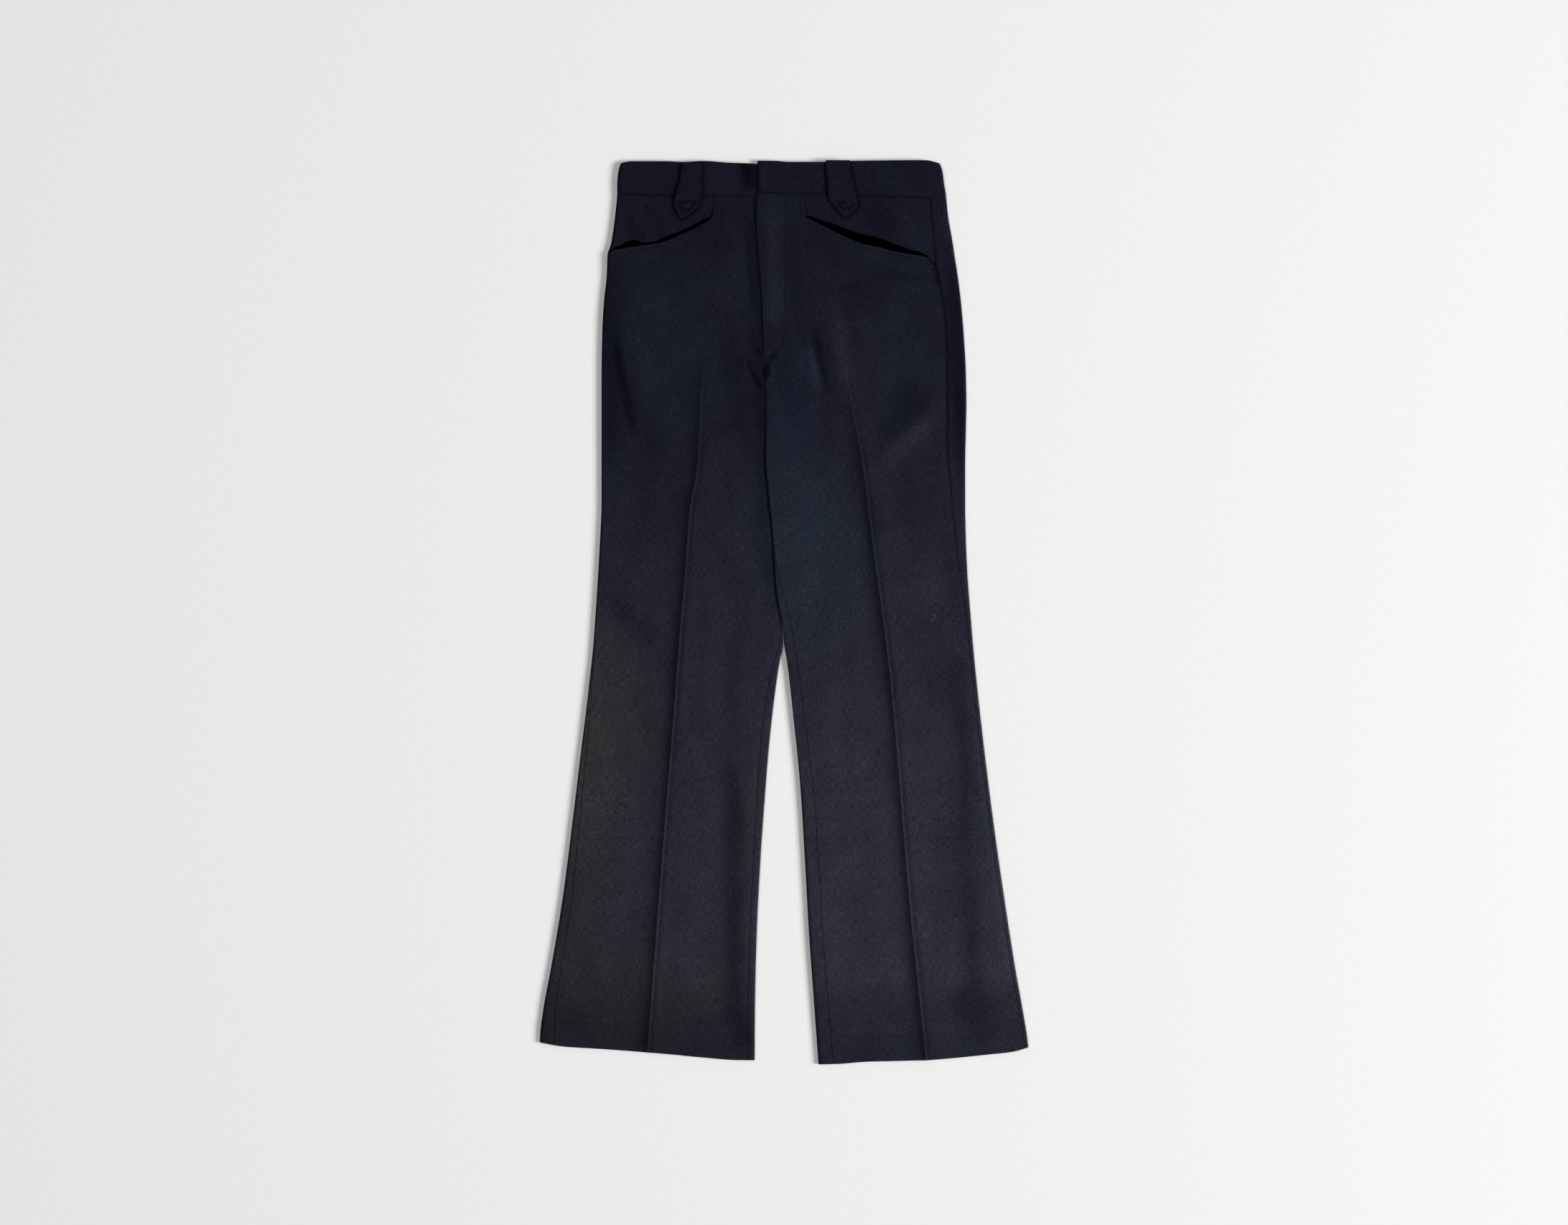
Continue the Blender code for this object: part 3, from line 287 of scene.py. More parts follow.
FRONT_LOOP = both(Strip, (
    (531.6, -121, -96.8), (526, -121.4, -97), (511.7, -123.2, -97.4), (496.4, -127.5, -97.8),
    (490, -129.4, -98.4), (483, -130.7, -100.3), (476, -128.4, -106), (469.6, -125, -113.2),
    (466.6, -122.2, -117.6),
), (
    (534.3, 49.3, 77.4), (528, 49.4, 77.6), (510, 51.4, 81.2), (496.4, 51.8, 85.2),
    (487.9, 53.8, 86.6), (480, 59.2, 87), (474, 64, 81.6), (468.2, 70.4, 75.6),
))
BACK_LOOPS = {"right": -100.0, "centre": BACK_CENTRE_TOP_X, "left": 92.0}

# Folds that only the cloth has, on the fronts
FRONT_FOLDS = table(Fold, (
    # beside and below the fly
    (-42.5, 461, -27.2, 334.9, 5.5, -0.75), (-58, 452, -46, 372, 9, 0.35),
    (-44.2, 297.5, -39.1, 286.5, 2.6, -0.7), (-39.1, 286.5, -28.1, 267.8, 2.8, -0.95),
    (-36, 300, -27.5, 288, 2.4, 0.5), (-31, 283, -25.5, 262, 2.2, -0.5),
    (-21, 298, -9, 307, 3.4, -0.5), (-22, 281, -21, 226, 3.6, -0.45), (-10, 262, -2, 196, 7, 0.4),
    (13, 352, 24, 268, 5, -0.4),
    # below the left pocket
    (35.7, 334, 51.8, 262.7, 4.6, -0.5), (28, 313, 39, 266, 5.4, 0.4),
    (67, 385.5, 89, 387.5, 2.6, -0.6), (70, 392, 96, 391, 3.4, 0.3), (98, 402, 168, 398, 3, -0.3),
    (108, 388, 176, 382, 4.2, 0.25), (132, 372, 190, 377, 3.6, -0.2), (58, 372, 72, 262, 9, 0.4),
    (146, 280, 150, 262, 8, -0.4), (106, 176, 176, 240, 12, 0.3), (116, 208, 168, 250, 9, -0.2),
    (170, 256, 203, 236, 8, 0.3), (96, 150, 112, 92, 9, -0.25), (151, 120, 168, 14, 12, 0.25),
    # right hip and thigh
    (-201.4, 329, -187, 262, 3.8, -0.75), (-187, 268, -179, 218, 3.8, -0.55),
    (-196, 300, -180, 246, 4, 0.35), (-176, 330, -160, 262, 10, 0.3),
    (-205, 396, -150, 404, 4.6, -0.25), (-146, 398, -86, 420, 6, 0.25),
    (-128, 300, -112, 236, 9, -0.3), (-76, 250, -60, 176, 11, 0.3),
    (-50, 226, -36, 120, 8, -0.35), (-168, 196, -150, 96, 12, 0.3),
    # knees and shins
    (-208, 18, -132, -46, 11, -0.35), (-66, 66, -30, 12, 9, -0.3), (-94, -64, -40, -92, 10, 0.25),
    (-66, -180, -62, -300, 8, -0.5), (-58, -316, -54, -470, 7, -0.3),
    (-190, -190, -206, -400, 16, 0.35), (-182, -330, -178, -466, 9, -0.2),
    (42, 62, 78, -4, 10, -0.3), (60, -70, 66, -210, 13, 0.3), (86, -226, 90, -420, 12, -0.25),
    (200, -30, 208, -150, 8, -0.3), (214, -170, 226, -320, 7, -0.4),
    (226, -330, 233, -478, 7, -0.3), (246, -300, 258, -450, 9, 0.35), (180, 4, 216, -60, 10, 0.3),
    (52, -380, 60, -500, 10, 0.3),
))
YOKE_FOLDS = table(Fold, (
    (-168, 482, -160, 470, 4.4, -0.6), (-174, 456, -168, 442, 4.2, -0.6),
    (-178, 470, -172, 452, 5, 0.4), (-152, 484, -140, 456, 6, 0.3),
    (-190, 484, -184, 440, 5, -0.3), (108, 482, 124, 446, 9, -0.5), (134, 486, 150, 436, 8, 0.35),
    (40, 482, 46, 472, 4, 0.25),
))
BAND_FOLDS = table(Fold, (
    (-43, 532, -42, 498, 6, -0.5), (-70, 530, -60, 500, 8, 0.3), (-150, 530, -146, 500, 10, -0.2),
    (6, 514, 18, 516, 3.2, -0.45), (110, 530, 118, 500, 12, 0.3), (150, 528, 156, 500, 8, -0.25),
))
# Folds of the under side, which lie inwards because the table holds the cloth flat
BACK_FOLDS = table(Fold, (
    (-150, 440, -60, 380, 16, 0.7), (-130, 360, -50, 300, 11, 0.8), (-96, 320, -34, 268, 8, 0.7),
    (-190, 300, -120, 262, 12, 0.5), (-60, 250, -40, 150, 9, 0.6), (-160, 180, -120, 60, 14, 0.5),
    (-190, 20, -96, -30, 12, 0.6), (-170, -160, -200, -400, 16, 0.5),
    (-80, -120, -70, -330, 12, 0.5), (140, 450, 44, 390, 15, 0.7), (120, 366, 22, 300, 12, 0.8),
    (66, 316, -8, 262, 8, 0.7), (176, 320, 110, 270, 12, 0.5), (20, 240, 12, 130, 10, 0.6),
    (150, 160, 120, 40, 15, 0.5), (186, 0, 96, -50, 12, 0.6), (176, -150, 206, -380, 15, 0.5),
    (84, -140, 88, -360, 12, 0.5),
))
# Soft zones that the light, the nap and wear leave lighter (above 0) or darker (below 0)
TONES = both(Fold, (
    (-39.5, 494, -29.5, 351, 10, -0.55), (-29, 351, -22.5, 252, 11, -0.55),
    (-24, 252, -21, 90, 13, -0.65), (-20, 90, -3, -10, 11, -0.55),
    (-204, 400, -206, 170, 10, -0.45), (-199.8, 325.6, -179.4, 216.8, 4.2, -1),
    (-86.7, 380, -90, 250, 10, 0.15), (-62, 318, -46, 190, 22, -0.3),
    (-222, 4, -246, -300, 28, 0.22), (-209, 24.6, -158, -36, 12, -0.16),
    (-65, -170, -60, -490, 12, -0.44), (-60, -466, -40, -516, 12, -0.4),
    (-118, -120, -132, -420, 10, -0.12), (-236, -470, -278, -480, 14, -0.2),
    (-104, 462, -80, 440, 12, -0.12), (-156, 240, -150, 70, 24, -0.26),
    (-44.2, 298.5, -39.1, 286.5, 2, -0.8), (-40.1, 288.5, -28.4, 267.4, 2.2, -1.4),
    (-24, 293, -23.4, 278, 2, -1.6), (-25.5, 270, -24.5, 215, 6, -0.3),
    (-31, 271, -28.2, 266, 2.4, -0.8), (-34, 490, -33.4, 458, 2.2, -1),
    (-56, -20, -63, -190, 12, -0.2), (-58, 470, -54, 350, 12, 0.14),
    (-34, 309, -26, 308.4, 2, -1), (-212, 424, -208, 300, 4, -0.3),
), (
    (-15, 492, -12, 342, 11, 0.38), (11, 470, 16, 360, 7, -0.2), (-6, 300, 12, 220, 16, -0.2),
    (35.7, 334, 51.9, 262.7, 4.2, -0.9), (-20.8, 295.5, -20.8, 277, 2.8, -2.4),
    (-18, 297, -11.6, 307, 2.2, -0.9), (22, 317, 34, 266, 6, 0.22), (59, 372, 72, 270, 8, 0.26),
    (70, 290, 85, 200, 7, 0.16), (128, 400, 104, 270, 30, 0.06), (112, 206, 168, 262, 17, -0.34),
    (104.5, 166, 177, 228, 14, 0.14), (202, 424, 213, 150, 13, -0.95),
    (67, 386, 89, 388, 2.4, -0.5), (12, 190, 30, 40, 24, 0.1), (205, -40, 226, -481, 12, -0.36),
    (206, -440, 246, -504, 24, -0.34), (50, -300, 72, -450, 26, 0.06),
    (192, 120, 206, -20, 12, -0.2), (100, 402, 172, 396, 4, -0.2), (44, 270, 60, 180, 12, -0.22),
    (30, 440, 70, 420, 9, -0.12), (150, 190, 160, 70, 26, -0.22),
    (196, -210, 204, -380, 24, -0.22), (172, -10, 178, -120, 26, -0.18),
    (179.4, 410, 182.8, 386, 2.4, -1.2), (169.5, 419.6, 178.8, 408.8, 1.6, -0.8),
))
YOKE_TONES = table(Fold, (
    (-166, 483, -160, 472, 5, -0.35), (-174, 458, -166, 442, 5, -0.4),
    (-182, 468, -178, 440, 6, -0.3), (-150, 470, -146, 452, 6, -0.25),
    (104, 484, 124, 444, 12, -0.4), (136, 486, 150, 440, 10, 0.12),
))
BAND_TONES = table(Fold, (
    (-43.4, 538, -41.6, 500, 8.5, -1.9), (-35.6, 538, -35, 500, 4, -0.7),
    (5, 514, 19, 516, 3.4, -0.35), (-84, 530, -80, 500, 7, 0.12), (-26, 530, -24, 500, 5, 0.2),
))
# Stitch lines and marks, as points from one end to the other
FLY_STITCH = table(Point, (
    (1.4, 492), (1, 430), (0.8, 360), (0.2, 330), (-1.6, 319), (-5.6, 311), (-11, 306),
    (-17, 303.8), (-22.4, 303.2),
))
SEAM_LINE = both(Point, (
    (-71.7, 491), (-72.6, 474), (-74.2, 458),
), (
    (18.9, 491), (20, 474), (22.4, 459),
))
FLY_TACK = Mark(-30.6, 308.9, -24.4, 308.7, 2.2)
POCKET_TACKS = both(Mark, (
    (-84, 470.4, -84.6, 464.4, 1.8),
), (
    (176.2, 406.6, 182.4, 407.4, 2.2), (26, 470.6, 25.4, 464.6, 1.8),
))
LOOP_TACKS = both(Mark, (
    (-124.4, 484.2, -110.6, 486.4, 1.9), (-110.6, 486.4, -104.2, 485.4, 1.7),
    (-104.6, 485, -109.6, 477.8, 1.7), (-109.6, 477.4, -113.4, 475.9, 1.8),
    (-113.4, 475.9, -120.2, 475.2, 1.8), (-120.4, 475.6, -124.2, 483.6, 1.6),
), (
    (64.4, 483.4, 73.6, 485.4, 1.5), (64.6, 483.2, 69.4, 477, 1.7),
    (69.6, 476.9, 81, 478.4, 1.8), (81.4, 478.8, 79.4, 484, 1.5),
    (72.6, 484.4, 74.6, 487.2, 1.5),
))
LINT = table(Mark, (
    (174, -9.6, 178.6, -5.6, 0.34), (176.2, -4.2, 180.6, -2, 0.3),
    (175.2, -11.6, 174.4, -8.2, 0.26), (179.4, -6.6, 178.8, -3, 0.22),
    (111.8, 521.8, 112.8, 521.9, 0.5), (113.4, 520.4, 114, 520.1, 0.34),
    (78.6, 408.6, 79.4, 409, 0.52), (175.8, 356, 176.6, 356.3, 0.52),
    (-188.2, 420, -187.5, 420.3, 0.46), (-272.6, -476.4, -271.8, -476.9, 0.5),
    (-258, -182, -257.2, -181.4, 0.4), (-191, -262, -190.6, -260.8, 0.26),
    (36, -268, 37.2, -267.6, 0.24), (214, -196, 214.4, -194.8, 0.24),
    (83.8, 486.4, 84.4, 486.6, 0.4), (-116.6, 480.4, -115.8, 480.6, 0.48),
    (74.1, 486, 74.8, 486.3, 0.5), (110, -474, 110.8, -473.2, 0.3),
))


class Side(Enum):
    """The wearer's side. Its value is the way from the outer edge towards the middle."""

    LEFT = -1.0
    RIGHT = 1.0

    @property
    def word(self) -> str:
        """The side's name as the nodes have it."""
        return self.name.lower()


class Layer(Enum):
    """Whether a panel is on the upper side of a leg or on its under side."""

    FRONT = "front"
    BACK = "back"


class SmoothLine:
    """A curve through points that doesn't overshoot between them."""

    def __init__(self, xs: Sequence[float], ys: Sequence[float]) -> None:
        """Works out a tangent at each point.

        Args:
            xs: Places of the points.
            ys: Values there.
        """
        order = np.argsort(xs)
        self.xs = np.asarray(xs, float)[order]
        self.ys = np.asarray(ys, float)[order]
        steps = np.diff(self.xs)
        slopes = np.diff(self.ys) / steps
        self.tangents = np.concatenate([slopes[:1], np.zeros(len(steps) - 1), slopes[-1:]])
        for i in range(1, len(steps)):
            if slopes[i - 1] * slopes[i] > 0.0:
                before = 2.0 * steps[i] + steps[i - 1]
                after = steps[i] + 2.0 * steps[i - 1]
                total = before / slopes[i - 1] + after / slopes[i]
                self.tangents[i] = (before + after) / total

    @classmethod
    def through(cls, rows: Sequence[NamedTuple], place: str, value: str) -> SmoothLine:
        """One column of a table as a curve over another."""
        return cls([getattr(row, place) for row in rows], [getattr(row, value) for row in rows])

    def __call__(self, x: Array | float) -> Array:
        """Reads the curve.

        Args:
            x: Places, which are held within the curve's ends.

        Returns:
            The values there.
        """
        x = np.clip(x, self.xs[0], self.xs[-1])
        i = np.clip(np.searchsorted(self.xs, x) - 1, 0, len(self.xs) - 2)
        h = self.xs[i + 1] - self.xs[i]
        t = (x - self.xs[i]) / h
        low = (1.0 + 2.0 * t) * (1.0 - t) ** 2 * self.ys[i]
        low += t * (1.0 - t) ** 2 * h * self.tangents[i]
        high = t * t * (3.0 - 2.0 * t) * self.ys[i + 1]
        return low + high + t * t * (t - 1.0) * h * self.tangents[i + 1]


def ease(t: Array | float) -> Array:
    """Rises smoothly from 0 to 1 while t goes from 0 to 1."""
    t = np.clip(t, 0.0, 1.0)
    return t * t * (3.0 - 2.0 * t)


def groove(distance: Array, width: float) -> Array:
    """A soft mark that is 1 on its line and gone at about twice its width."""
    return np.exp(-((distance / width) ** 2))


def stepped(start: float, stop: float, step: float, ends: Sequence[float] = ()) -> Array:
    """Places from start to stop at an even step, closer together at both ends.

    Args:
        start: First place.
        stop: Last place.
        step: Longest distance between neighbours.
        ends: Distances from each end at which there is a place of its own.

    Returns:
        The places in order.
    """
    reach = max(ends, default=0.0)
    count = max(2, math.ceil((stop - start - 2.0 * reach) / step) + 1)
    middle = np.linspace(start + reach, stop - reach, count)
    first = [start + end for end in sorted(ends) if end < reach]
    last = [stop - end for end in sorted(ends, reverse=True) if end < reach]
    return np.concatenate([first, middle, last])


def path_distance(points: Sequence[Point], x: Array, y: Array) -> Array:
    """Distance of places from a line through points.

    Args:
        points: Points of the line, in order.
        x: Side positions of the places.
        y: Heights of the places.

    Returns:
        The distance to the nearest part of the line, in millimetres.
    """
    nearest = np.full(np.broadcast(x, y).shape, 1e6)
    for a, b in zip(points[:-1], points[1:]):
        dx, dy = b.x - a.x, b.y - a.y
        run = np.clip(((x - a.x) * dx + (y - a.y) * dy) / (dx * dx + dy * dy), 0.0, 1.0)
        nearest = np.minimum(nearest, np.hypot(x - a.x - run * dx, y - a.y - run * dy))
    return nearest


def fold_height(folds: Sequence[Fold], x: Array, y: Array, bow: float = 0.06) -> Array:
    """Height that folds add at places.

    Each fold fades at its ends and bows a little to one side, the next to the other, and its
    flank on the side of the bow is the steeper one, as in cloth that lies by itself.

    Args:
        folds: The folds.
        x: Side positions.
        y: Heights along the garment.
        bow: How far a fold's middle bows, as a share of its length.

    Returns:
        The height at each place, in millimetres.
    """
    total = np.zeros(np.broadcast(x, y).shape)
    for number, fold in enumerate(folds):
        along_x, along_y = fold.x2 - fold.x1, fold.y2 - fold.y1
        length = np.hypot(along_x, along_y)
        run = ((x - fold.x1) * along_x + (y - fold.y1) * along_y) / length**2
        across = ((x - fold.x1) * along_y - (y - fold.y1) * along_x) / length
        way = 1.0 if number % 2 else -1.0
        across = way * across + bow * length * 4.0 * run * (1.0 - run)
        width = fold.width * np.where(across > 0.0, 1.25, 0.85)
        ends = ease((run + 0.15) / 0.4) * ease((1.15 - run) / 0.4)
        total += fold.height * ends * np.exp(-((across / width) ** 2))
    return total


@dataclass(frozen=True)
class Ripples:
    """The soft unevenness of lying cloth, as waves of mixed length and direction."""

    seed: int
    height: float
    shortest: float
    longest: float
    count: int = 16

    def at(self, x: Array, y: Array) -> Array:
        """Height of the waves.

        Args:
            x: Side positions.
            y: Heights along the garment.

        Returns:
            The height at each place, in millimetres.
        """
        random = np.random.default_rng(self.seed)
        total = np.zeros(np.broadcast(x, y).shape)
        for _ in range(self.count):
            angle = random.uniform(0.0, math.pi)
            wave = 2.0 * math.pi / random.uniform(self.shortest, self.longest)
            phase = random.uniform(0.0, 2.0 * math.pi)
            total += np.sin(wave * (x * math.cos(angle) + y * math.sin(angle)) + phase)
        return total * self.height / math.sqrt(0.5 * self.count)


def loop_outline(side: Side) -> list[Point]:
    """Edge of a front belt loop, down one side and up the other.

    Args:
        side: The wearer's side.

    Returns:
        Its points, from the top round to the top.
    """
    strips = FRONT_LOOP[side.word]
    down = [Point(strip.x1, strip.y) for strip in strips]
    return down + [Point(strip.x2, strip.y) for strip in reversed(strips)]


class Half:
    """One half of the garment, with the curves that its pieces follow."""

    def __init__(self, side: Side) -> None:
        """Makes the curves from the tables of that side.

        Args:
            side: The wearer's side.
        """
        word = side.word
        self.side = side
        self.inwards = side.value
        self.outer = SmoothLine.through(OUTLINE, "y", word)
        self.inner = SmoothLine.through(INNER, "y", word)
        levels = (FLY_EDGE, BACK_CENTRE, CREASE[word], CREASE_HEIGHT, OUTSEAM[word],
                  INSEAM[word], BODY_LEVEL, OUTER_LEVEL, INNER_LEVEL[word])
        (self.fly, self.back_centre, self.crease, self.crease_height, self.outseam, self.inseam,
         self.body_level, self.outer_level, self.inner_level) = (
            SmoothLine.through(level, "y", "value") for level in levels)
        self.band_top, self.band_seam, self.hem, self.slit, self.yoke_edge = (
            SmoothLine.through(edge[word], "x", "y")
            for edge in (BAND_TOP, BAND_SEAM, HEM, SLIT, YOKE_EDGE))

    def turn(self, y: Array) -> Array:
        """How far the inner edges turn to each other: 0 open, a quarter turn closed."""
        return 0.5 * np.pi * ease((CLOSE_Y - y) / (CLOSE_Y - FORK_Y))

    def top_width(self, y: Array) -> Array:
        """Width from the outer fold edge to where the front ends or turns down.

        Args:
            y: Heights along the garment.

        Returns:
            The width at each height.
        """
        gap = 0.5 * LEG_GAP
        middle = np.where(y > FORK_Y, self.fly(y), self.inner(y))
        if self.side is Side.LEFT:
            lap = gap * ease((UNDERLAP_END_Y - y) / 10.0)
            return self.outer(y) - middle - lap
        reach = UNDERLAP * ease((y - UNDERLAP_END_Y) / 14.0) - gap
        return middle + reach - self.outer(y)

    def bottom_width(self, y: Array) -> Array:
        """Width from the outer fold edge to where the back ends or turns up."""
        middle = np.where(y > FORK_Y, self.back_centre(y), self.inner(y))
        return np.abs(middle - self.outer(y)) - 0.5 * LEG_GAP

    def x(self, y: Array, w: Array) -> Array:
        """The side position of a point that lies w inwards of the outer fold edge."""
        return self.outer(y) + self.inwards * w

    def width(self, y: Array, x: Array) -> Array:
        """How far a side position lies inwards of the outer fold edge."""
        return self.inwards * (x - self.outer(y))

    def inside(self, y: Array, w: Array) -> Array:
        """How much of a fold shows at a width: none on the fold edges.

        Args:
            y: Heights along the garment.
            w: Widths from the outer fold edge.

        Returns:
            A share from 0 to 1 for each place.
        """
        closed = np.sin(self.turn(y))
        near_middle = closed * (1.0 - ease((self.top_width(y) - w - 4.0) / 12.0))
        return ease((w - 4.0) / 12.0) * (1.0 - near_middle)

    def crease_relief(self, y: Array, w: Array) -> Array:
        """Pressed crease: a knife edge on a broad rise.

        Args:
            y: Heights along the garment.
            w: Widths from the outer fold edge.

        Returns:
            Its height at each place.
        """
        off = np.abs(self.x(y, w) - self.crease(y))
        knife = 0.95 * np.exp(-((off / 1.7) ** 2)) + 0.75 * np.exp(-off / 4.6)
        return self.crease_height(y) * (knife + 0.7 * np.exp(-off / 15.0))

    def relief(self, y: Array, w: Array) -> Array:
        """Crease, folds and unevenness of the upper side.

        Args:
            y: Heights along the garment.
            w: Widths from the outer fold edge.

        Returns:
            The height that they add at each place.
        """
        x = self.x(y, w)
        total = self.crease_relief(y, w) + fold_height(LARGE_FOLDS, x, y, bow=0.0)
        total += FOLD_SHARE * fold_height(FRONT_FOLDS, x, y)
        total += Ripples(seed=11, height=0.16, shortest=46.0, longest=120.0).at(x, y)
        total += Ripples(seed=12, height=0.045, shortest=14.0, longest=34.0).at(x, y)
        return total * self.inside(y, w)

    def tone(self, x: Array, y: Array) -> Array:
        """Painted light and shade of the upper side in its folds and beside its crease, and its
        tone.

        Args:
            x: Side positions.
            y: Heights along the garment.

        Returns:
            Painted light and shade, with tone, for each place.
        """
        off = x - self.crease(y)
        # Painted highlight on the crease and painted shade on its flanks, most on the -X one
        pressed = 0.22 * groove(off, 1.2) - 0.70 * groove(off + 4.2, 3.4)
        pressed = pressed - 0.2 * groove(off + 11.0, 6.0) - 0.58 * groove(off - 3.9, 2.8)
        # Painted light on fold tops, painted shade in troughs, random patches and tone zones
        folds = fold_height(FRONT_FOLDS, x, y) + 0.5 * fold_height(LARGE_FOLDS, x, y, bow=0.0)
        patches = Ripples(seed=51, height=0.045, shortest=18.0, longest=70.0).at(x, y)
        zones = fold_height(TONES[self.side.word], x, y, bow=0.0)
        return (self.crease_height(y) * pressed + FOLD_PAINTED_LIGHT * folds + patches + zones
                - 0.38 * ease((HEM_SHADE_Y - y) / 80.0))


class Tube:
    """The flattened tube of one leg at given heights, as the middle line of its wall.

    A place on the upper side is given by t, the distance from the outer fold edge. A place on
    the under side is given by q, the distance from the inner edge.
    """

    def __init__(self, half: Half, y: Array, wall: float, level: float | None = None) -> None:
        """Works out the tube's run at each height.

        Args:
            half: The half of the garment.
            y: Heights along the garment.
            wall: Thickness of the wall.
            level: Height of the upper face, where the tube is a flat band that stays open.
        """
        flat = level is not None
        self.half = half
        self.y = y
        self.wall = wall
        self.turn = np.zeros_like(y) if flat else half.turn(y)
        self.low = 0.5 * wall
        self.body = (np.full_like(y, level) if flat else half.body_level(y)) - 0.5 * wall
        edge = np.full_like(y, level - 0.6) if flat else half.outer_level(y)
        self.out_top = edge - 0.5 * wall
        self.in_top = self.body if flat else half.inner_level(y) - 0.5 * wall
        self.out_radius = 0.5 * (self.out_top - self.low)
        self.in_radius = 0.5 * (self.in_top - self.low)
        self.out_arc = 0.5 * np.pi * self.out_radius
        self.in_arc = self.turn * self.in_radius
        self.start = 0.5 * wall + self.out_radius
        pull = (0.5 * wall + self.in_radius) * np.sin(self.turn)
        self.end_at(half.top_width(y) - pull, half.bottom_width(y) - pull)

    def end_at(self, top: Array, bottom: Array) -> None:
        """Ends the straight runs at other widths.

        Args:
            top: Width at which the upper run ends.
            bottom: Width at which the under run ends.
        """
        self.top_end = top
        self.bottom_end = bottom
        self.top_length = self.out_arc + (top - self.start) + self.in_arc
        self.bottom_length = self.out_arc + (bottom - self.start) + self.in_arc

    def place(self, w: Array) -> Array:
        """The distance t of a width on the upper straight run."""
        return w - self.start + self.out_arc

    def level(self, w: Array) -> Array:
        """Middle height of the upper side's straight run.

        Args:
            w: Widths from the outer fold edge.

        Returns:
            The height at each width.
        """
        near_out = np.exp(-np.maximum(w - self.start, 0.0) / EDGE_REACH)
        near_in = np.exp(-np.maximum(self.top_end - w, 0.0) / EDGE_REACH)
        return (self.body + (self.out_top - self.body) * near_out
                + (self.in_top - self.body) * near_in * np.sin(self.turn))

    def corner(self, bend: Array) -> tuple[Array, Array, Array, Array]:
        """The inner edge's turn for a radius of one, which is a little fuller than a circle.

        Args:
            bend: Angles from the straight run.

        Returns:
            How far out and how far round, and the normal's outward and upright parts.
        """
        out, rest = np.maximum(np.sin(bend), 0.0), np.maximum(np.cos(bend), 0.0)
        power = INNER_CORNER - FORK_FULLER * ease((self.y - 190.0) / 40.0)
        normal_out, normal_up = out ** (2.0 - power), rest ** (2.0 - power)
        size = np.hypot(normal_out, normal_up)
        held = np.sin(self.turn) ** (1.0 - power)
        return out ** power * held, 1.0 - rest ** power, normal_out / size, normal_up / size

    def upper(self, t: Array) -> tuple[Array, Array, Array, Array]:
        """Points on the upper side, or round the outer edge where t is below zero.

        Args:
            t: Distances from the outer fold edge.

        Returns:
            Width, height, and the outward normal's width and height at each.
        """
        angle = np.clip(t / self.out_radius, -0.5 * np.pi, 0.5 * np.pi)
        arc_w = 0.5 * self.wall + self.out_radius * (1.0 - np.cos(angle))
        arc_z = self.low + self.out_radius * (1.0 + np.sin(angle))
        run_w = self.start + (np.abs(t) - self.out_arc)
        run_z = np.where(t > 0.0, self.level(run_w), self.low)
        past = np.clip(t - self.out_arc - (self.top_end - self.start), 0.0, self.in_arc + 1e-9)
        out, drop, end_out, end_up = self.corner(past / self.in_radius)
        end_w = self.top_end + self.in_radius * out
        end_z = self.level(self.top_end) - self.in_radius * drop
        on_arc = np.abs(t) < self.out_arc
        on_end = past > 0.0
        w = np.where(on_arc, arc_w, np.where(on_end, end_w, run_w))
        z = np.where(on_arc, arc_z, np.where(on_end, end_z, run_z))
        normal_w = np.where(on_arc, -np.cos(angle), np.where(on_end, end_out, 0.0))
        upright = np.where(on_end, end_up, np.sign(t))
        return w, z, normal_w, np.where(on_arc, np.sin(angle), upright)

    def under(self, q: Array) -> tuple[Array, Array, Array, Array]:
        """Points on the under side; a q below zero has passed the closed inner edge.

        Args:
            q: Distances from the inner edge.

        Returns:
            Width, height, and the outward normal's width and height at each.
        """
        bend = np.clip(self.turn - q / self.in_radius, 0.0, None)
        on_arc = q < self.in_arc
        out, rise, normal_out, normal_up = self.corner(bend)
        arc = (self.bottom_end + self.in_radius * out, self.low + self.in_radius * rise,
               normal_out, -normal_up)
        past = (q < 0.0) & (self.turn > 1.5)
        run = self.upper(q - self.bottom_length)
        over = self.upper(self.top_length + q)
        found = [np.where(past, o, np.where(on_arc, a, r)) for a, r, o in zip(arc, run, over)]
        return found[0], found[1], found[2], found[3]


@dataclass
class Sheet:
    """A grid of points on the middle of a wall of cloth, with what the wall needs there."""

    half: Half
    y: Array
    w: Array
    z: Array
    normal_w: Array
    normal_z: Array
    along: Array  # distance across the cloth, for the weave
    wall: Array | float = CLOTH
    extra: Array | float = 0.0  # more thickness on the inner face
    bump: Array | float = 0.0  # fine relief of the outer face
    wear: Array | float = 0.0  # above 0 a painted highlight or wear, below 0 painted shade

    def faces(self) -> tuple[Array, Array]:
        """Outer and inner face of the wall.

        Returns:
            Two grids of points in millimetres.
        """
        out = 0.5 * self.wall + self.bump
        back = -(0.5 * self.wall + self.extra)
        points = [np.stack([self.half.x(self.y, self.w + reach * self.normal_w), self.y,
                            self.z + reach * self.normal_z], axis=-1) for reach in (out, back)]
        return points[0], points[1]


def put_in_scene(name: str, data: bpy.types.ID) -> Piece:
    """Makes an object of its data and links it to the scene, at the origin.

    Args:
        name: Name of the object.
        data: Its mesh, light or camera.

    Returns:
        The object.
    """
    made = bpy.data.objects.new(name, data)
    bpy.context.scene.collection.objects.link(made)
    return made


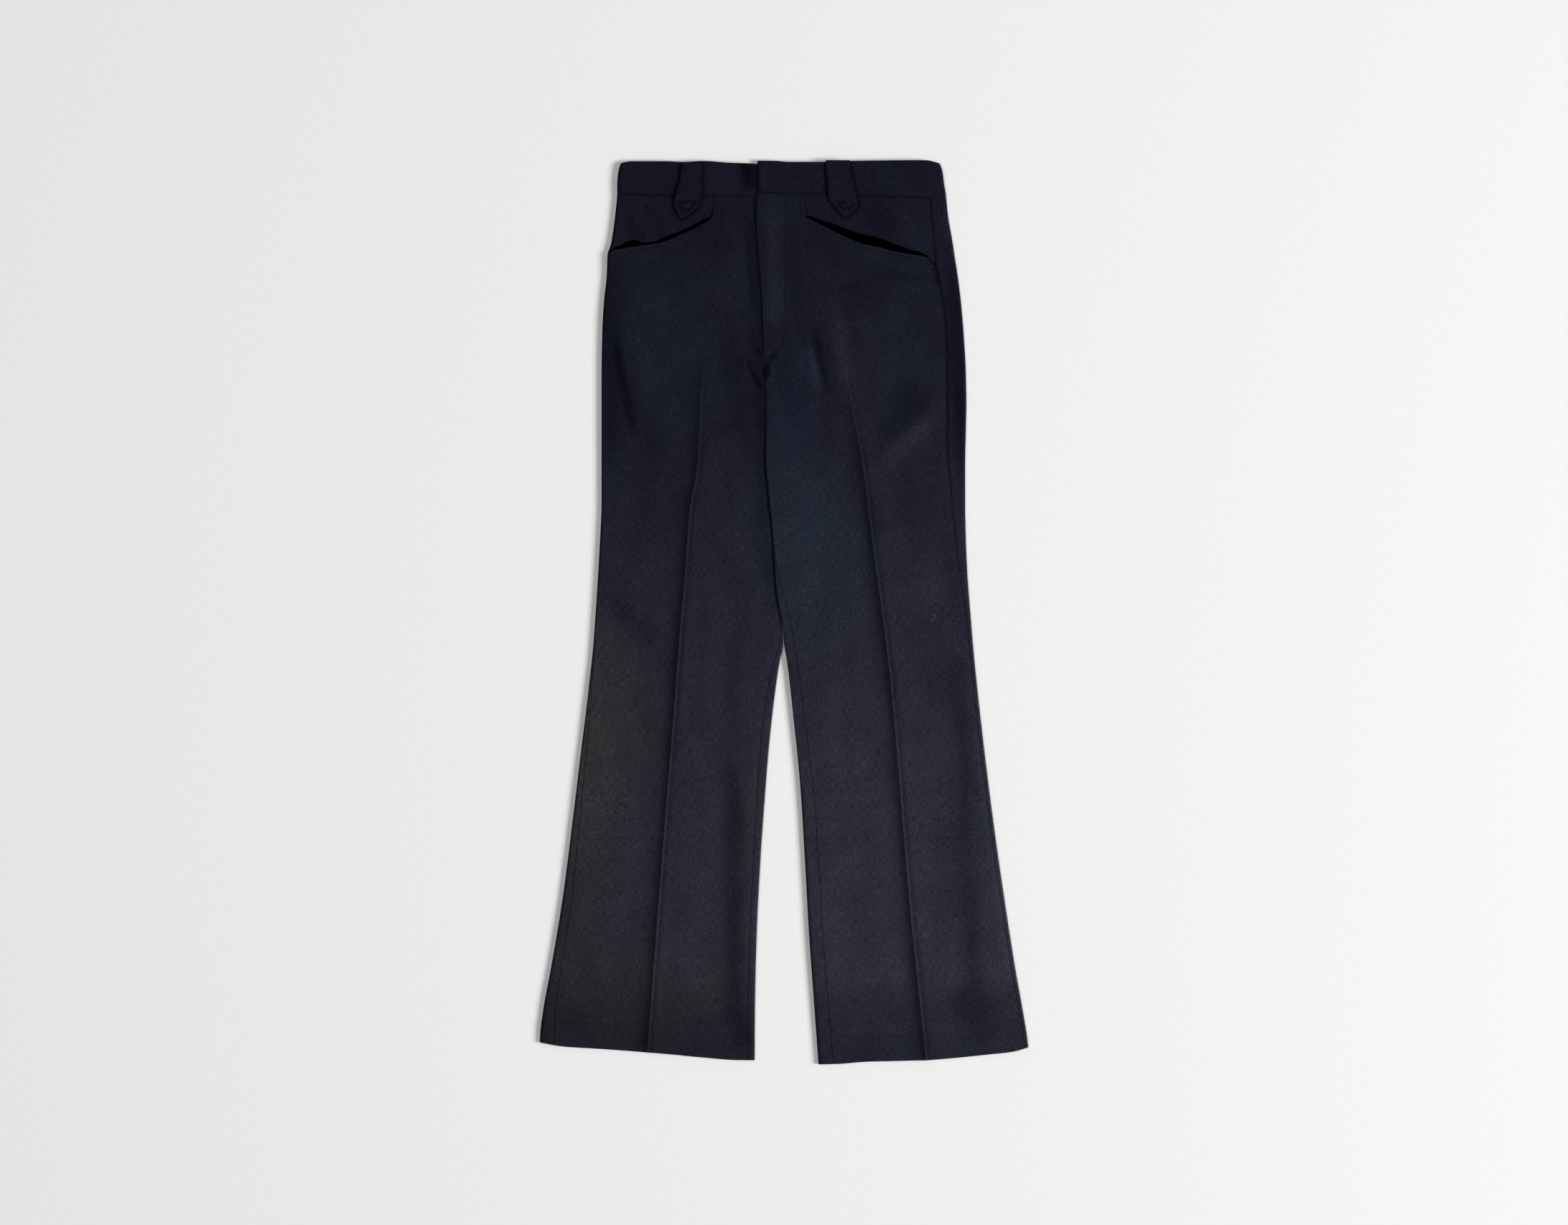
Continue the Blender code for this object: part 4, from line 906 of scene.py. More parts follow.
def closed_shell(name: str, outer: Array, inner: Array, uv: Array, wear: Array,
                 keep: Array | None = None) -> Piece:
    """One closed solid between an outer and an inner grid of points, rimmed where it ends.

    Args:
        name: Name of the object.
        outer: Grid of points of the outer face, in millimetres.
        inner: Grid of points of the inner face.
        uv: Place of each point on the flat cloth, in metres.
        wear: Painted light and shade, and wear, at each point.
        keep: Which cells of the grid are there; all of them where it is None.

    Returns:
        The object, at the origin, with its faces pointing out.
    """
    rows, columns = outer.shape[:2]
    keep = np.ones((rows - 1, columns - 1), bool) if keep is None else keep
    number = np.arange(rows * columns).reshape(rows, columns)
    corners = np.stack([number[:-1, :-1], number[:-1, 1:], number[1:, 1:], number[1:, :-1]])
    inside = number.size
    quads = [corners[:, keep].T, corners[::-1, keep].T + inside]
    around = np.pad(keep, 1)
    beside = (around[:-2, 1:-1], around[1:-1, 2:], around[2:, 1:-1], around[1:-1, :-2])
    for side, neighbour in enumerate(beside):
        a = corners[side][keep & ~neighbour]
        b = corners[(side + 1) % 4][keep & ~neighbour]
        quads.append(np.stack([b, a, a + inside, b + inside], axis=-1))
    faces = np.concatenate(quads)
    points = np.concatenate([outer.reshape(-1, 3), inner.reshape(-1, 3)]) * MM
    used, faces = np.unique(faces, return_inverse=True)
    faces = faces.reshape(-1, 4)
    points = points[used]
    a, b, c, d = (points[faces[:, i]] for i in range(4))
    if np.sum(a * (np.cross(b, c) + np.cross(c, d))) < 0.0:
        faces = faces[:, ::-1]
    mesh = bpy.data.meshes.new(name)
    mesh.from_pydata(points.tolist(), [], faces.tolist())
    layer = mesh.uv_layers.new(name="cloth")
    places = np.concatenate([uv.reshape(-1, 2)] * 2)[used]
    layer.data.foreach_set("uv", places[faces.ravel()].ravel())
    attribute = mesh.attributes.new("wear", "FLOAT", "POINT")
    attribute.data.foreach_set("value", np.concatenate([wear.ravel()] * 2)[used])
    mesh.shade_smooth()
    mesh.set_sharp_from_angle(angle=math.radians(55.0))
    return put_in_scene(name, mesh)


def slab(name: str, x: Array, y: Array, top: Array, bottom: Array, wear: Array) -> Piece:
    """The closed solid between two heights over one grid of places."""
    outer, inner = (np.stack([x, y, z], axis=-1) for z in (top, bottom))
    return closed_shell(name, outer, inner, outer[..., :2] * MM, wear)


def shell_from(name: str, sheet: Sheet, keep: Array | None = None) -> Piece:
    """The closed wall round a grid on the middle of the cloth.

    Args:
        name: Name of the object.
        sheet: The grid.
        keep: Which cells of the grid are there.

    Returns:
        The object.
    """
    outer, inner = sheet.faces()
    uv = np.stack([sheet.along, sheet.y + 0.0 * sheet.along], axis=-1) * MM
    return closed_shell(name, outer, inner, uv, sheet.wear + 0.0 * sheet.y, keep)


@dataclass(frozen=True)
class Cut:
    """What a piece was cut to, in metres, its CAD node, its slot and what it lies on."""

    node: str
    slot: str
    width: float
    length: float
    area: float
    rests_on: tuple[str, ...]

    def hand_over(self, piece: Piece, finish: Finish, trims: Sequence[Piece] = ()) -> None:
        """Dresses the piece and says what it is.

        Args:
            piece: The finished mesh.
            finish: Its material.
            trims: Stitches and tacks that go with it; not used.
        """
        piece.data.materials.append(finish)
        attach(piece, BODY)
        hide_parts(self.node)
        log.info("%s: %d points", piece.name, len(piece.data.vertices))


def near_edge(distance: Array, reach: float = 0.7) -> Array:
    """1 on the raw edge of a seam and gone a little way in."""
    return np.exp(-np.maximum(distance, 0.0) / reach)


def allowance(distance: Array, width: float) -> Array:
    """1 over a seam's pressed allowance, with a soft end at its width."""
    return 1.0 - ease((distance - width) / 3.5)


@dataclass
class LegPanel:
    """Rows and columns that the front and the back of one leg share."""

    layer = Layer.FRONT
    half: Half
    seam_steps: tuple[float, ...] = (0.0, 0.25, 0.5, 0.85, 1.3, 1.9, 2.8, 4.0, 5.8, 8.0)
    crease_steps: tuple[float, ...] = (0.35, 0.7, 1.1, 1.6, 2.3, 3.3, 4.8, 6.8, 9.2, 12.0)
    edge_dip: float = 0.3
    allowance_rise: float = 0.13
    allowance_width: float = 11.0
    blind_stitch: float = 6.5  # distance from one blind stitch of the hem to the next

    def plain_rows(self) -> Array:
        """Heights of the rows below the pocket rows.

        Returns:
            The heights, from the hem up.
        """
        stitch = HEM_Y + HEM_DEPTH
        return np.concatenate([
            HEM_Y + np.array((0.0, 0.3, 0.7, 1.3, 2.2, 3.6, 5.6)),
            stepped(HEM_Y + 8.4, stitch - 2.0, 3.4), stitch + np.array((-1.2, -0.6, 0.0, 0.6, 1.2)),
            stepped(stitch + 2.4, 184.0, 3.7), stepped(186.6, 320.0, 2.4),
            stepped(323.0, SLIT_ROW_Y, 3.2)])

    def slit_steps(self) -> Array:
        """Shares of the way up to the pocket opening, closer together near its edge."""
        return np.concatenate([np.linspace(0.0, 0.84, 13)[1:], np.linspace(0.84, 1.0, 13)[1:]])

    def top_steps(self) -> Array:
        """Shares of the way from the pocket's corner up to the waistband."""
        height = TOP_Y - POCKET_CORNER_Y
        return stepped(0.0, height, 2.6, (0.0, 0.4, 0.9, 1.6))[1:] / height

    def columns(self, tube: Tube) -> Array:
        """Places of the columns at each height of the tube, one row for each height."""
        raise NotImplementedError

    def spread(self, spans: Sequence[tuple[Array, Array | float, Array]]) -> Array:
        """Columns along spans of the cloth. Each follows the heights of its own place.

        Args:
            spans: Where each span starts and how long it is, at every place of the grid, and
                the shares of its length at which it has columns.

        Returns:
            A grid of distances.
        """
        made = []
        for start, length, shares in spans:
            for share in shares:
                made.append((start + share * length)[:, len(made)])
        return np.stack(made, axis=1)

    def rows(self, columns: int) -> Array:
        """Heights of the panel's rows at each of its columns.

        The rows bend to the hem, the pocket opening and the waistband seam, so each height
        depends on the side position, which depends on the height: a few rounds settle both.

        Args:
            columns: How many columns there are.

        Returns:
            A grid of heights.
        """
        half = self.half
        plain, slit, top = self.plain_rows(), self.slit_steps(), self.top_steps()
        low, mid = len(plain), len(plain) + len(slit)
        nominal = np.concatenate([plain, SLIT_ROW_Y + slit * (POCKET_CORNER_Y - SLIT_ROW_Y),
                                  POCKET_CORNER_Y + top * (TOP_Y - POCKET_CORNER_Y)])
        y = np.repeat(nominal[:, None], columns, axis=1)
        side = half.outer(SLIT_SIDE_Y) + half.inwards * half.outseam(SLIT_SIDE_Y)
        slit_end = half.slit(side)
        ramp = np.clip((HEM_CURVE_Y - plain) / (HEM_CURVE_Y - HEM_Y), 0.0, 1.0)[:, None]
        back = self.layer is Layer.BACK
        base = slit_end if back else POCKET_CORNER_Y
        for _ in range(SETTLE_ROUNDS):
            tube = Tube(half, y, CLOTH)
            at = self.columns(tube)
            x = half.x(y, (tube.under(at) if back else tube.upper(at))[0])
            y[:low] = plain[:, None] + ramp * (half.hem(x[:low]) - HEM_Y)
            inner = half.inwards * (x[low:mid] - half.crease(y[low:mid])) >= -1e-6
            corner = np.where(inner, POCKET_CORNER_Y, half.slit(x[low:mid]))
            corner = np.where(back, slit_end, corner)
            y[low:mid] = SLIT_ROW_Y + slit[:, None] * (corner - SLIT_ROW_Y)
            seam = half.band_seam(x[mid:]) - 0.5 * SEAM_GAP
            y[mid:] = base + top[:, None] * (seam - base)
        return y

    def side_shade(self, y: Array) -> Array:
        """Painted shade of the side seam's line: darker on the hip, where the cloth is pulled."""
        return 0.38 + 0.9 * ease((y - 60.0) / 160.0)

    def hem_relief(self, x: Array, y: Array) -> tuple[Array, Array, Array]:
        """The turned-up hem and the line of blind stitches that holds it.

        Args:
            x: Side positions.
            y: Heights along the garment.

        Returns:
            More thickness inwards, fine relief outwards, and change of colour: painted shade in
            the stitch line, the hem a little darker and its edge lighter.
        """
        above = y - self.half.hem(x)
        extra = HEM_EXTRA * ease((HEM_DEPTH + 2.0 - above) / 3.0)
        line = groove(above - HEM_DEPTH, 0.8)
        dimples = 0.5 + 0.5 * np.sin(x * 2.0 * math.pi / self.blind_stitch)
        bump = 0.07 * ease((HEM_DEPTH - above) / 1.5) - line * (0.12 + 0.12 * dimples)
        bump -= 0.3 * near_edge(above, 0.6)
        # Lighter hem edge, painted shade in the blind stitches, hem a little darker
        wear = 0.12 * near_edge(above, 1.4) - line * (0.12 + 0.25 * dimples)
        wear -= 0.10 * ease((HEM_DEPTH - above) / 3.0)
        return extra, bump, wear + 0.08 * groove(above - HEM_DEPTH + 2.0, 1.4)


@dataclass
class FrontPanel(LegPanel):
    """The front of one leg, from the pocket opening and the waistband seam to the hem."""

    outside_columns: int = 31
    inside_columns: int = 38
    welt: float = 2.9  # width of the pressed edge along the pocket opening
    welt_rise: float = 0.34

    def ends(self, tube: Tube) -> tuple[Array, Array, Array]:
        """Where the panel starts, is creased and stops.

        Args:
            tube: The tube at the panel's heights.

        Returns:
            Distances of the side seam, the crease, and the inner seam or the fly edge.
        """
        half, y = self.half, tube.y
        closed = y < FORK_Y + 1.0
        start = half.outseam(y) + 0.5 * SEAM_GAP
        stop = tube.top_length - np.where(closed, half.inseam(y) + 0.5 * SEAM_GAP, 0.0)
        return start, tube.place(half.width(y, half.crease(y))), stop

    def columns(self, tube: Tube) -> Array:
        """Places of the columns, close together at the seams and at the crease.

        Args:
            tube: The tube at the panel's heights.

        Returns:
            A grid of distances from the outer fold edge.
        """
        start, crease, stop = self.ends(tube)
        seam, press = np.array(self.seam_steps), np.array(self.crease_steps)
        outside = np.linspace(0.0, 1.0, self.outside_columns + 2)[1:-1]
        inside = np.linspace(0.0, 1.0, self.inside_columns + 2)[1:-1]
        first, last = start + seam[-1], stop - seam[-1]
        low, high = crease - press[-1], crease + press[-1]
        return self.spread([
            (start, 1.0, seam), (first, low - first, outside),
            (crease, 1.0, np.concatenate([-press[::-1], [0.0], press])),
            (high, last - high, inside), (stop, -1.0, seam[::-1])])

    @property
    def corner_column(self) -> int:
        """Number of the column that runs up to the pocket's corner."""
        return len(self.seam_steps) + self.outside_columns + len(self.crease_steps)

    def lie(self, x: Array, y: Array) -> Array:
        """How the fly and the pocket edge lie above or below the panel.

        Args:
            x: Side positions.
            y: Heights along the garment.

        Returns:
            The height to add.
        """
        half = self.half
        above_fly = ease((y - SINK_END_Y) / 12.0)
        if half.side is Side.RIGHT:
            lie = -UNDERLAP_SINK * above_fly * ease((x - half.fly(y) + 10.0) / 9.0)
        else:
            lie = 0.1 * above_fly * np.exp(-np.maximum(x - half.fly(y), 0.0) / 7.0)
        below = np.maximum(half.slit(x) - y, 0.0)
        pocket_side = ease(half.inwards * (half.crease(y) - x) / 12.0)
        lift = 0.7 if half.side is Side.LEFT else 0.25
        return lie + lift * pocket_side * np.exp(-below / 9.0) * ease((y - 330.0) / 50.0)

    def finish_edges(self, x: Array, y: Array, from_seam: Array, to_seam: Array,
                     from_crease: Array, up: Array) -> tuple[Array, Array]:
        """Seam edges, allowances, fly, pocket welt and stitch lines.

        Args:
            x: Side positions.
            y: Heights along the garment.
            from_seam: Distance from the side seam.
            to_seam: Distance from the inner seam or the fly edge.
            from_crease: Distance from the crease, above 0 towards the middle.
            up: 1 where the cloth faces up and 0 where it turns round a fold edge.

        Returns:
            Fine relief of the outer face, and painted light and shade.
        """
        half = self.half
        below_fork = ease((FORK_Y - y) / 8.0)
        bump = -self.edge_dip * (near_edge(from_seam) + near_edge(to_seam))
        bump += self.allowance_rise * up * allowance(from_seam, self.allowance_width)
        bump += self.allowance_rise * up * allowance(to_seam, self.allowance_width) * below_fork
        # Painted shade along the seams, and faint painted highlights on their allowances
        wear = -self.side_shade(y) * near_edge(from_seam, 1.1)
        wear -= 0.38 * near_edge(to_seam, 0.8) * below_fork
        wear += 0.08 * groove(from_seam - 2.6, 1.4) + 0.08 * groove(to_seam - 2.6, 1.4)
        above = ease((y - POCKET_CORNER_Y - 0.5) / 1.5)
        seam = above * near_edge(np.abs(from_crease), 0.8)
        slit = path_distance(SLIT[half.side.word], x, y)
        pocket = ease(-(from_crease - 1.0) / 2.0) * ease((y - 380.0) / 20.0)
        bump += pocket * (self.welt_rise * allowance(slit, self.welt)
                          - 0.5 * near_edge(slit, 0.5) - 0.26 * groove(slit - 3.6, 0.7))
        # Painted highlight on the welt, painted shade in its stitch line
        wear += pocket * (0.20 * groove(slit - 1.4, 1.3) - 0.32 * groove(slit - 4.1, 0.9))
        mark = groove(path_distance(SEAM_LINE[half.side.word], x, y), 0.9)
        top = near_edge(half.band_seam(x) - y, 1.1)
        bump -= self.edge_dip * (seam + 0.9 * top) + 0.16 * mark
        # Painted shade in the seam to the pocket, its stitch line and the waistband seam
        wear -= 0.8 * seam + 0.55 * mark + 1.2 * top
        fly = ease((y - SINK_END_Y) / 4.0)
        if half.side is Side.LEFT:
            edge, stitch = x - half.fly(y), path_distance(FLY_STITCH, x, y)
            facing = fly * ease((FLY_STITCH[0].x - x) / 5.0)
            bump += 0.14 * facing + fly * 0.14 * allowance(edge, 3.4) - 0.24 * groove(stitch, 0.7)
            bump -= 0.95 * fly * near_edge(edge, 2.4)
            bump += 0.05 * groove(stitch, 2.2) * np.sin(y * 2.0 * math.pi / 8.5)
            # Painted highlight beside the fly edge, painted shade in its stitch line
            wear += fly * 0.12 * groove(edge - 2.0, 1.8) - 0.3 * groove(stitch, 0.9)
        else:
            # Painted shadow of the left front's fly edge on the right front
            wear -= 0.3 * fly * ease((x - half.fly(y) + 7.0) / 7.0)
        return bump, wear

    def build(self) -> Piece:
        """Makes the panel's mesh.

        Returns:
            The object.
        """
        half = self.half
        count = self.corner_column + 1 + len(self.crease_steps)
        count += self.inside_columns + len(self.seam_steps)
        y = self.rows(count)
        tube = Tube(half, y, CLOTH)
        t = self.columns(tube)
        start, crease, stop = self.ends(tube)
        w, z, normal_w, normal_z = tube.upper(t)
        x = half.x(y, w)
        extra, hem_bump, hem_light_and_wear = self.hem_relief(x, y)
        up = ease((normal_z - 0.8) / 0.2)
        bump, wear = self.finish_edges(x, y, t - start, stop - t, t - crease, up)
        wear += half.tone(x, y)
        sheet = Sheet(half, y, w, z + half.relief(y, w) + self.lie(x, y), normal_w, normal_z,
                      along=t - crease, extra=extra, bump=bump + hem_bump, wear=wear + hem_light_and_wear)
        keep = np.ones((y.shape[0] - 1, y.shape[1] - 1), bool)
        keep[len(self.plain_rows()) + len(self.slit_steps()) - 1:, :self.corner_column] = False
        return shell_from(f"cloth_front_{half.side.word}", sheet, keep)


@dataclass
class BackPanel(LegPanel):
    """The back of one leg: the under side, and round both fold edges up to the seams."""

    layer = Layer.BACK
    turn_columns: int = 9
    flat_columns: int = 66

    def columns(self, tube: Tube) -> Array:
        """Places of the columns from the inner edge, close together round the folds.

        Args:
            tube: The tube at the panel's heights.

        Returns:
            A grid of distances from the inner edge.
        """
        half, y = self.half, tube.y
        inseam = np.where(y < FORK_Y + 1.0, half.inseam(y) - 0.5 * SEAM_GAP, 0.0)
        reach = np.maximum(inseam, LEAST_SEAM - 0.5 * SEAM_GAP)
        bend = 0.5 * np.pi * tube.in_radius
        first = reach - inseam
        run = tube.bottom_length - tube.out_arc - first - bend
        outseam = half.outseam(y) - 0.5 * SEAM_GAP
        turn = np.linspace(0.0, 1.0, self.turn_columns + 1)
        return self.spread([
            (-inseam, reach, turn ** 1.4), (first, bend, turn[1:]),
            (first + bend, run, np.linspace(0.0, 1.0, self.flat_columns + 1)[1:]),
            (tube.bottom_length - tube.out_arc, tube.out_arc, turn[1:]),
            (tube.bottom_length, outseam, (1.0 - (1.0 - turn) ** 1.4)[1:])])

    def build(self) -> Piece:
        """Makes the panel's mesh.

        Returns:
            The object.
        """
        half = self.half
        y = self.rows(4 * self.turn_columns + 1 + self.flat_columns)
        tube = Tube(half, y, CLOTH)
        q = self.columns(tube)
        w, z, normal_w, normal_z = tube.under(q)
        x = half.x(y, w)
        flat = ease((-normal_z - 0.6) / 0.4) * ease((w - 6.0) / 14.0)
        flat *= ease((half.bottom_width(y) - w - 6.0) / 14.0)
        from_crease = x - half.crease(y)
        folds = fold_height(BACK_FOLDS, x, y)
        lift = folds + Ripples(seed=31, height=0.14, shortest=50.0, longest=130.0).at(x, y)
        pressed = half.crease_height(y)
        lift = np.maximum(lift, 0.0) + 0.22 * pressed * groove(from_crease, 0.9)
        z = z + lift * flat + np.where(normal_z > 0.5, half.relief(y, w), 0.0)
        extra, hem_bump, hem_light_and_wear = self.hem_relief(x, y)
        from_seam, to_seam = q - q[:, :1], q[:, -1:] - q
        up = ease((normal_z - 0.8) / 0.2)
        bump = -self.edge_dip * (near_edge(from_seam) + near_edge(to_seam))
        ridge = sum(allowance(off, self.allowance_width) for off in (from_seam, to_seam))
        bump += up * self.allowance_rise * ridge
        # Painted shade at the seams and the folds, painted light above and on the crease
        wear = -0.38 * near_edge(from_seam, 0.8) - self.side_shade(y) * near_edge(to_seam, 1.1)
        wear += np.where(normal_z > 0.0, half.tone(x, y), 0.0)
        wear += flat * (0.4 * pressed * groove(from_crease, 1.0) - 0.2 * folds)
        hem_bump = np.where(normal_z < -0.9, np.minimum(hem_bump, 0.0), hem_bump)
        sheet = Sheet(half, y, w, z, normal_w, normal_z, along=q, extra=extra,
                      bump=bump + hem_bump, wear=wear + hem_light_and_wear)
        return shell_from(f"cloth_back_{half.side.word}", sheet)


@dataclass
class PocketYoke:
    """The side piece above one pocket opening, and the pocket's own cloth under it."""

    half: Half
    width: float = 110.0  # sizes of the yoke that its rows and columns are spaced for
    height: float = 50.0
    reach_below: float = 26.0  # how far the pocket's cloth goes on below the opening
    reach_above: float = 12.0  # and above it

    def grid(self, across: Array, up: Array, low: Callable[[Array], Array],
             high: Callable[[Array], Array]) -> tuple[Array, ...]:
        """A grid over the pocket opening, from the side seam to the seam beside the fly.

        Args:
            across: Shares of the way from the side seam.
            up: Shares of the way from the lower to the upper edge.
            low: The lower edge's height at side positions.
            high: The upper edge's height.

        Returns:
            Side positions, heights, widths, middle heights, both parts of the normal, and the
            distances from both seams.
        """
        half = self.half
        y = np.full((len(up), len(across)), YOKE_MID_Y)
        for _ in range(SETTLE_ROUNDS):
            tube = Tube(half, y, CLOTH)
            start = half.outseam(y) + 0.5 * SEAM_GAP
            stop = tube.place(half.width(y, half.crease(y))) - SEAM_GAP
            t = start + across[None, :] * (stop - start)
            w, z, normal_w, normal_z = tube.upper(t)
            x = half.x(y, w)
            y = low(x) + up[:, None] * (high(x) - low(x))
        return x, y, w, z, normal_w, normal_z, t - start, stop - t

    def drop(self, x: Array, y: Array) -> Array:
        """How far the yoke lies below the front's level: most along the opening."""
        above = np.maximum(y - self.half.yoke_edge(x), 0.0)
        return 0.15 + YOKE_DROP * np.exp(-above / 9.0)

    def yoke(self) -> Piece:
        """Makes the yoke's mesh.

        Returns:
            The object.
        """
        half = self.half
        across = stepped(0.0, self.width, 1.1, (0.0, 0.25, 0.6, 1.0)) / self.width
        up = stepped(0.0, self.height, 1.1, (0.0, 0.3, 0.7, 1.2)) / self.height
        x, y, w, z, normal_w, normal_z, from_seam, to_seam = self.grid(
            across, up, half.yoke_edge, lambda x: half.band_seam(x) - 0.5 * SEAM_GAP)
        folds = FOLD_SHARE * fold_height(YOKE_FOLDS, x, y)
        z = z + half.relief(y, w) + (folds - self.drop(x, y)) * ease((w - 2.0) / 8.0)
        opening = path_distance(YOKE_EDGE[half.side.word], x, y)
        to_band = half.band_seam(x) - y
        seam = near_edge(from_seam) + near_edge(to_seam) + near_edge(to_band)
        bump = -0.42 * seam - 0.35 * near_edge(opening, 0.6)
        # Painted shade at the seams, along the opening, in the folds and round the loop
        wear = -0.7 * seam - 0.3 * near_edge(opening, 3.0) + fold_height(YOKE_TONES, x, y)
        wear -= 0.7 * near_edge(to_band, 1.1)
        wear -= LOOP_SHADE * near_edge(path_distance(loop_outline(half.side), x, y), 1.8)
        sheet = Sheet(half, y, w, z, normal_w, normal_z, along=x, bump=bump, wear=wear)
        return shell_from(f"cloth_pocket_yoke_{half.side.word}", sheet)

    def pocketing(self) -> Piece:
        """Makes the pocket cloth's mesh; its near-black colour is the opening's painted shade.

        Returns:
            The object.
        """
        half = self.half
        across, up = np.linspace(0.05, 1.05, 50), np.linspace(0.0, 1.0, 24)
        x, y, w = self.grid(across, up, lambda x: half.slit(x) - self.reach_below,
                            lambda x: half.yoke_edge(x) + self.reach_above)[:3]
        z = POCKETING_MID + Ripples(seed=41, height=0.12, shortest=14.0, longest=40.0).at(x, y)
        flat = np.zeros_like(y)
        sheet = Sheet(half, y, w, z, flat, flat + 1.0, along=x, wall=POCKET_CLOTH)
        return shell_from(f"cloth_pocketing_{half.side.word}", sheet)


@dataclass
class Waistband:
    """One half of the waistband: over the front, round the side and along the back."""

    half: Half
    height: float = 38.0  # the rows are spaced for this height
    step: float = 1.4
    rise_steps: tuple[float, ...] = (0.0, 0.3, 0.7, 1.2, 1.9, 2.8)

    def loop_lift(self, x: Array) -> Array:
        """How far a belt loop under it lifts the back of the waistband.

        Args:
            x: Side positions.

        Returns:
            The height to add.
        """
        total = np.zeros(np.shape(x))
        for centre in BACK_LOOPS.values():
            off = np.abs(x - centre) - 0.5 * BACK_LOOP_WIDTH - LOOP_SLOPE_START
            total = np.maximum(total, BACK_LOOP_LIFT * ease(1.0 - off / LOOP_SLOPE))
        return total

    def build(self) -> Piece:
        """Makes the mesh of this half of the waistband.

        Returns:
            The object.
        """
        half = self.half
        lap = 0.0 if half.side is Side.LEFT else BAND_UNDERLAP
        rise = stepped(0.0, self.height, 2.2, self.rise_steps)[:, None] / self.height
        above = rise * self.height
        edge = self.height * np.minimum(rise, 1.0 - rise)
        y = np.full((len(rise), 1), BAND_MID_Y)
        for number in range(SETTLE_ROUNDS):
            tube = Tube(half, y, BAND_CLOTH, level=BAND_FRONT_TOP)
            tube.end_at(np.abs(half.fly(y) - half.outer(y)) + lap,
                        np.abs(BACK_CENTRE_TOP_X - half.outer(y)) - 0.5 * SEAM_GAP)
            if number == 0:
                length = float(tube.top_length[0, 0] + tube.bottom_length[0, 0])
                share = stepped(0.0, length, self.step, (0.0, 0.3, 0.7, 1.2, 1.8)) / length
                y = np.repeat(y, len(share), axis=1)
                continue
            t = tube.top_length - share * (tube.top_length + tube.bottom_length)
            w, z, normal_w, normal_z = tube.upper(t)
            x = half.x(y, w)
            under = ease((-t - tube.out_arc) / 12.0)
            low = half.band_seam(x) + 0.5 * SEAM_GAP
            y = low + rise * (half.band_top(x) - under - low)
        front = ease(t / 6.0)
        folds = fold_height(BAND_FOLDS, x, y)
        z += np.where(t < -tube.out_arc, self.loop_lift(x), 0.0)
        waves = Ripples(seed=21, height=0.07, shortest=22.0, longest=80.0).at(x, y)
        z += front * ease((w - 6.0) / 10.0) * (folds + waves)
        # Painted light and shade of the band's folds, painted shade along its seam and round the
        # loop, and a painted highlight along its top
        wear = fold_height(BAND_TONES, x, y) * front - near_edge(above, 0.9)
        wear += 0.12 * groove(above - self.height + 1.0, 1.6) * front
        loop = path_distance(loop_outline(half.side), x, y)
        wear -= LOOP_SHADE * front * near_edge(loop, 1.8)
        if half.side is Side.RIGHT:
            under_lap = ease((x - half.fly(y) + 9.0) / 8.0)
            z -= np.where(t > tube.out_arc, BAND_SINK * under_lap, 0.0)
        else:
            # Painted highlight along the band's end at the fly
            wear += 0.1 * front * groove(x - half.fly(y) - 0.8, 1.3)
        ends = 0.2 + 0.8 * np.sqrt(ease(np.minimum(share, 1.0 - share) * length / 5.0))
        z -= 0.4 * (1.0 - ends) * BAND_CLOTH
        thin = (0.5 + 0.5 * np.sqrt(ease(edge / 1.6))) * ends
        sheet = Sheet(half, y, w, z, normal_w, normal_z, along=-t, wall=BAND_CLOTH * thin,
                      wear=wear)
        return shell_from(f"cloth_waistband_{half.side.word}", sheet)


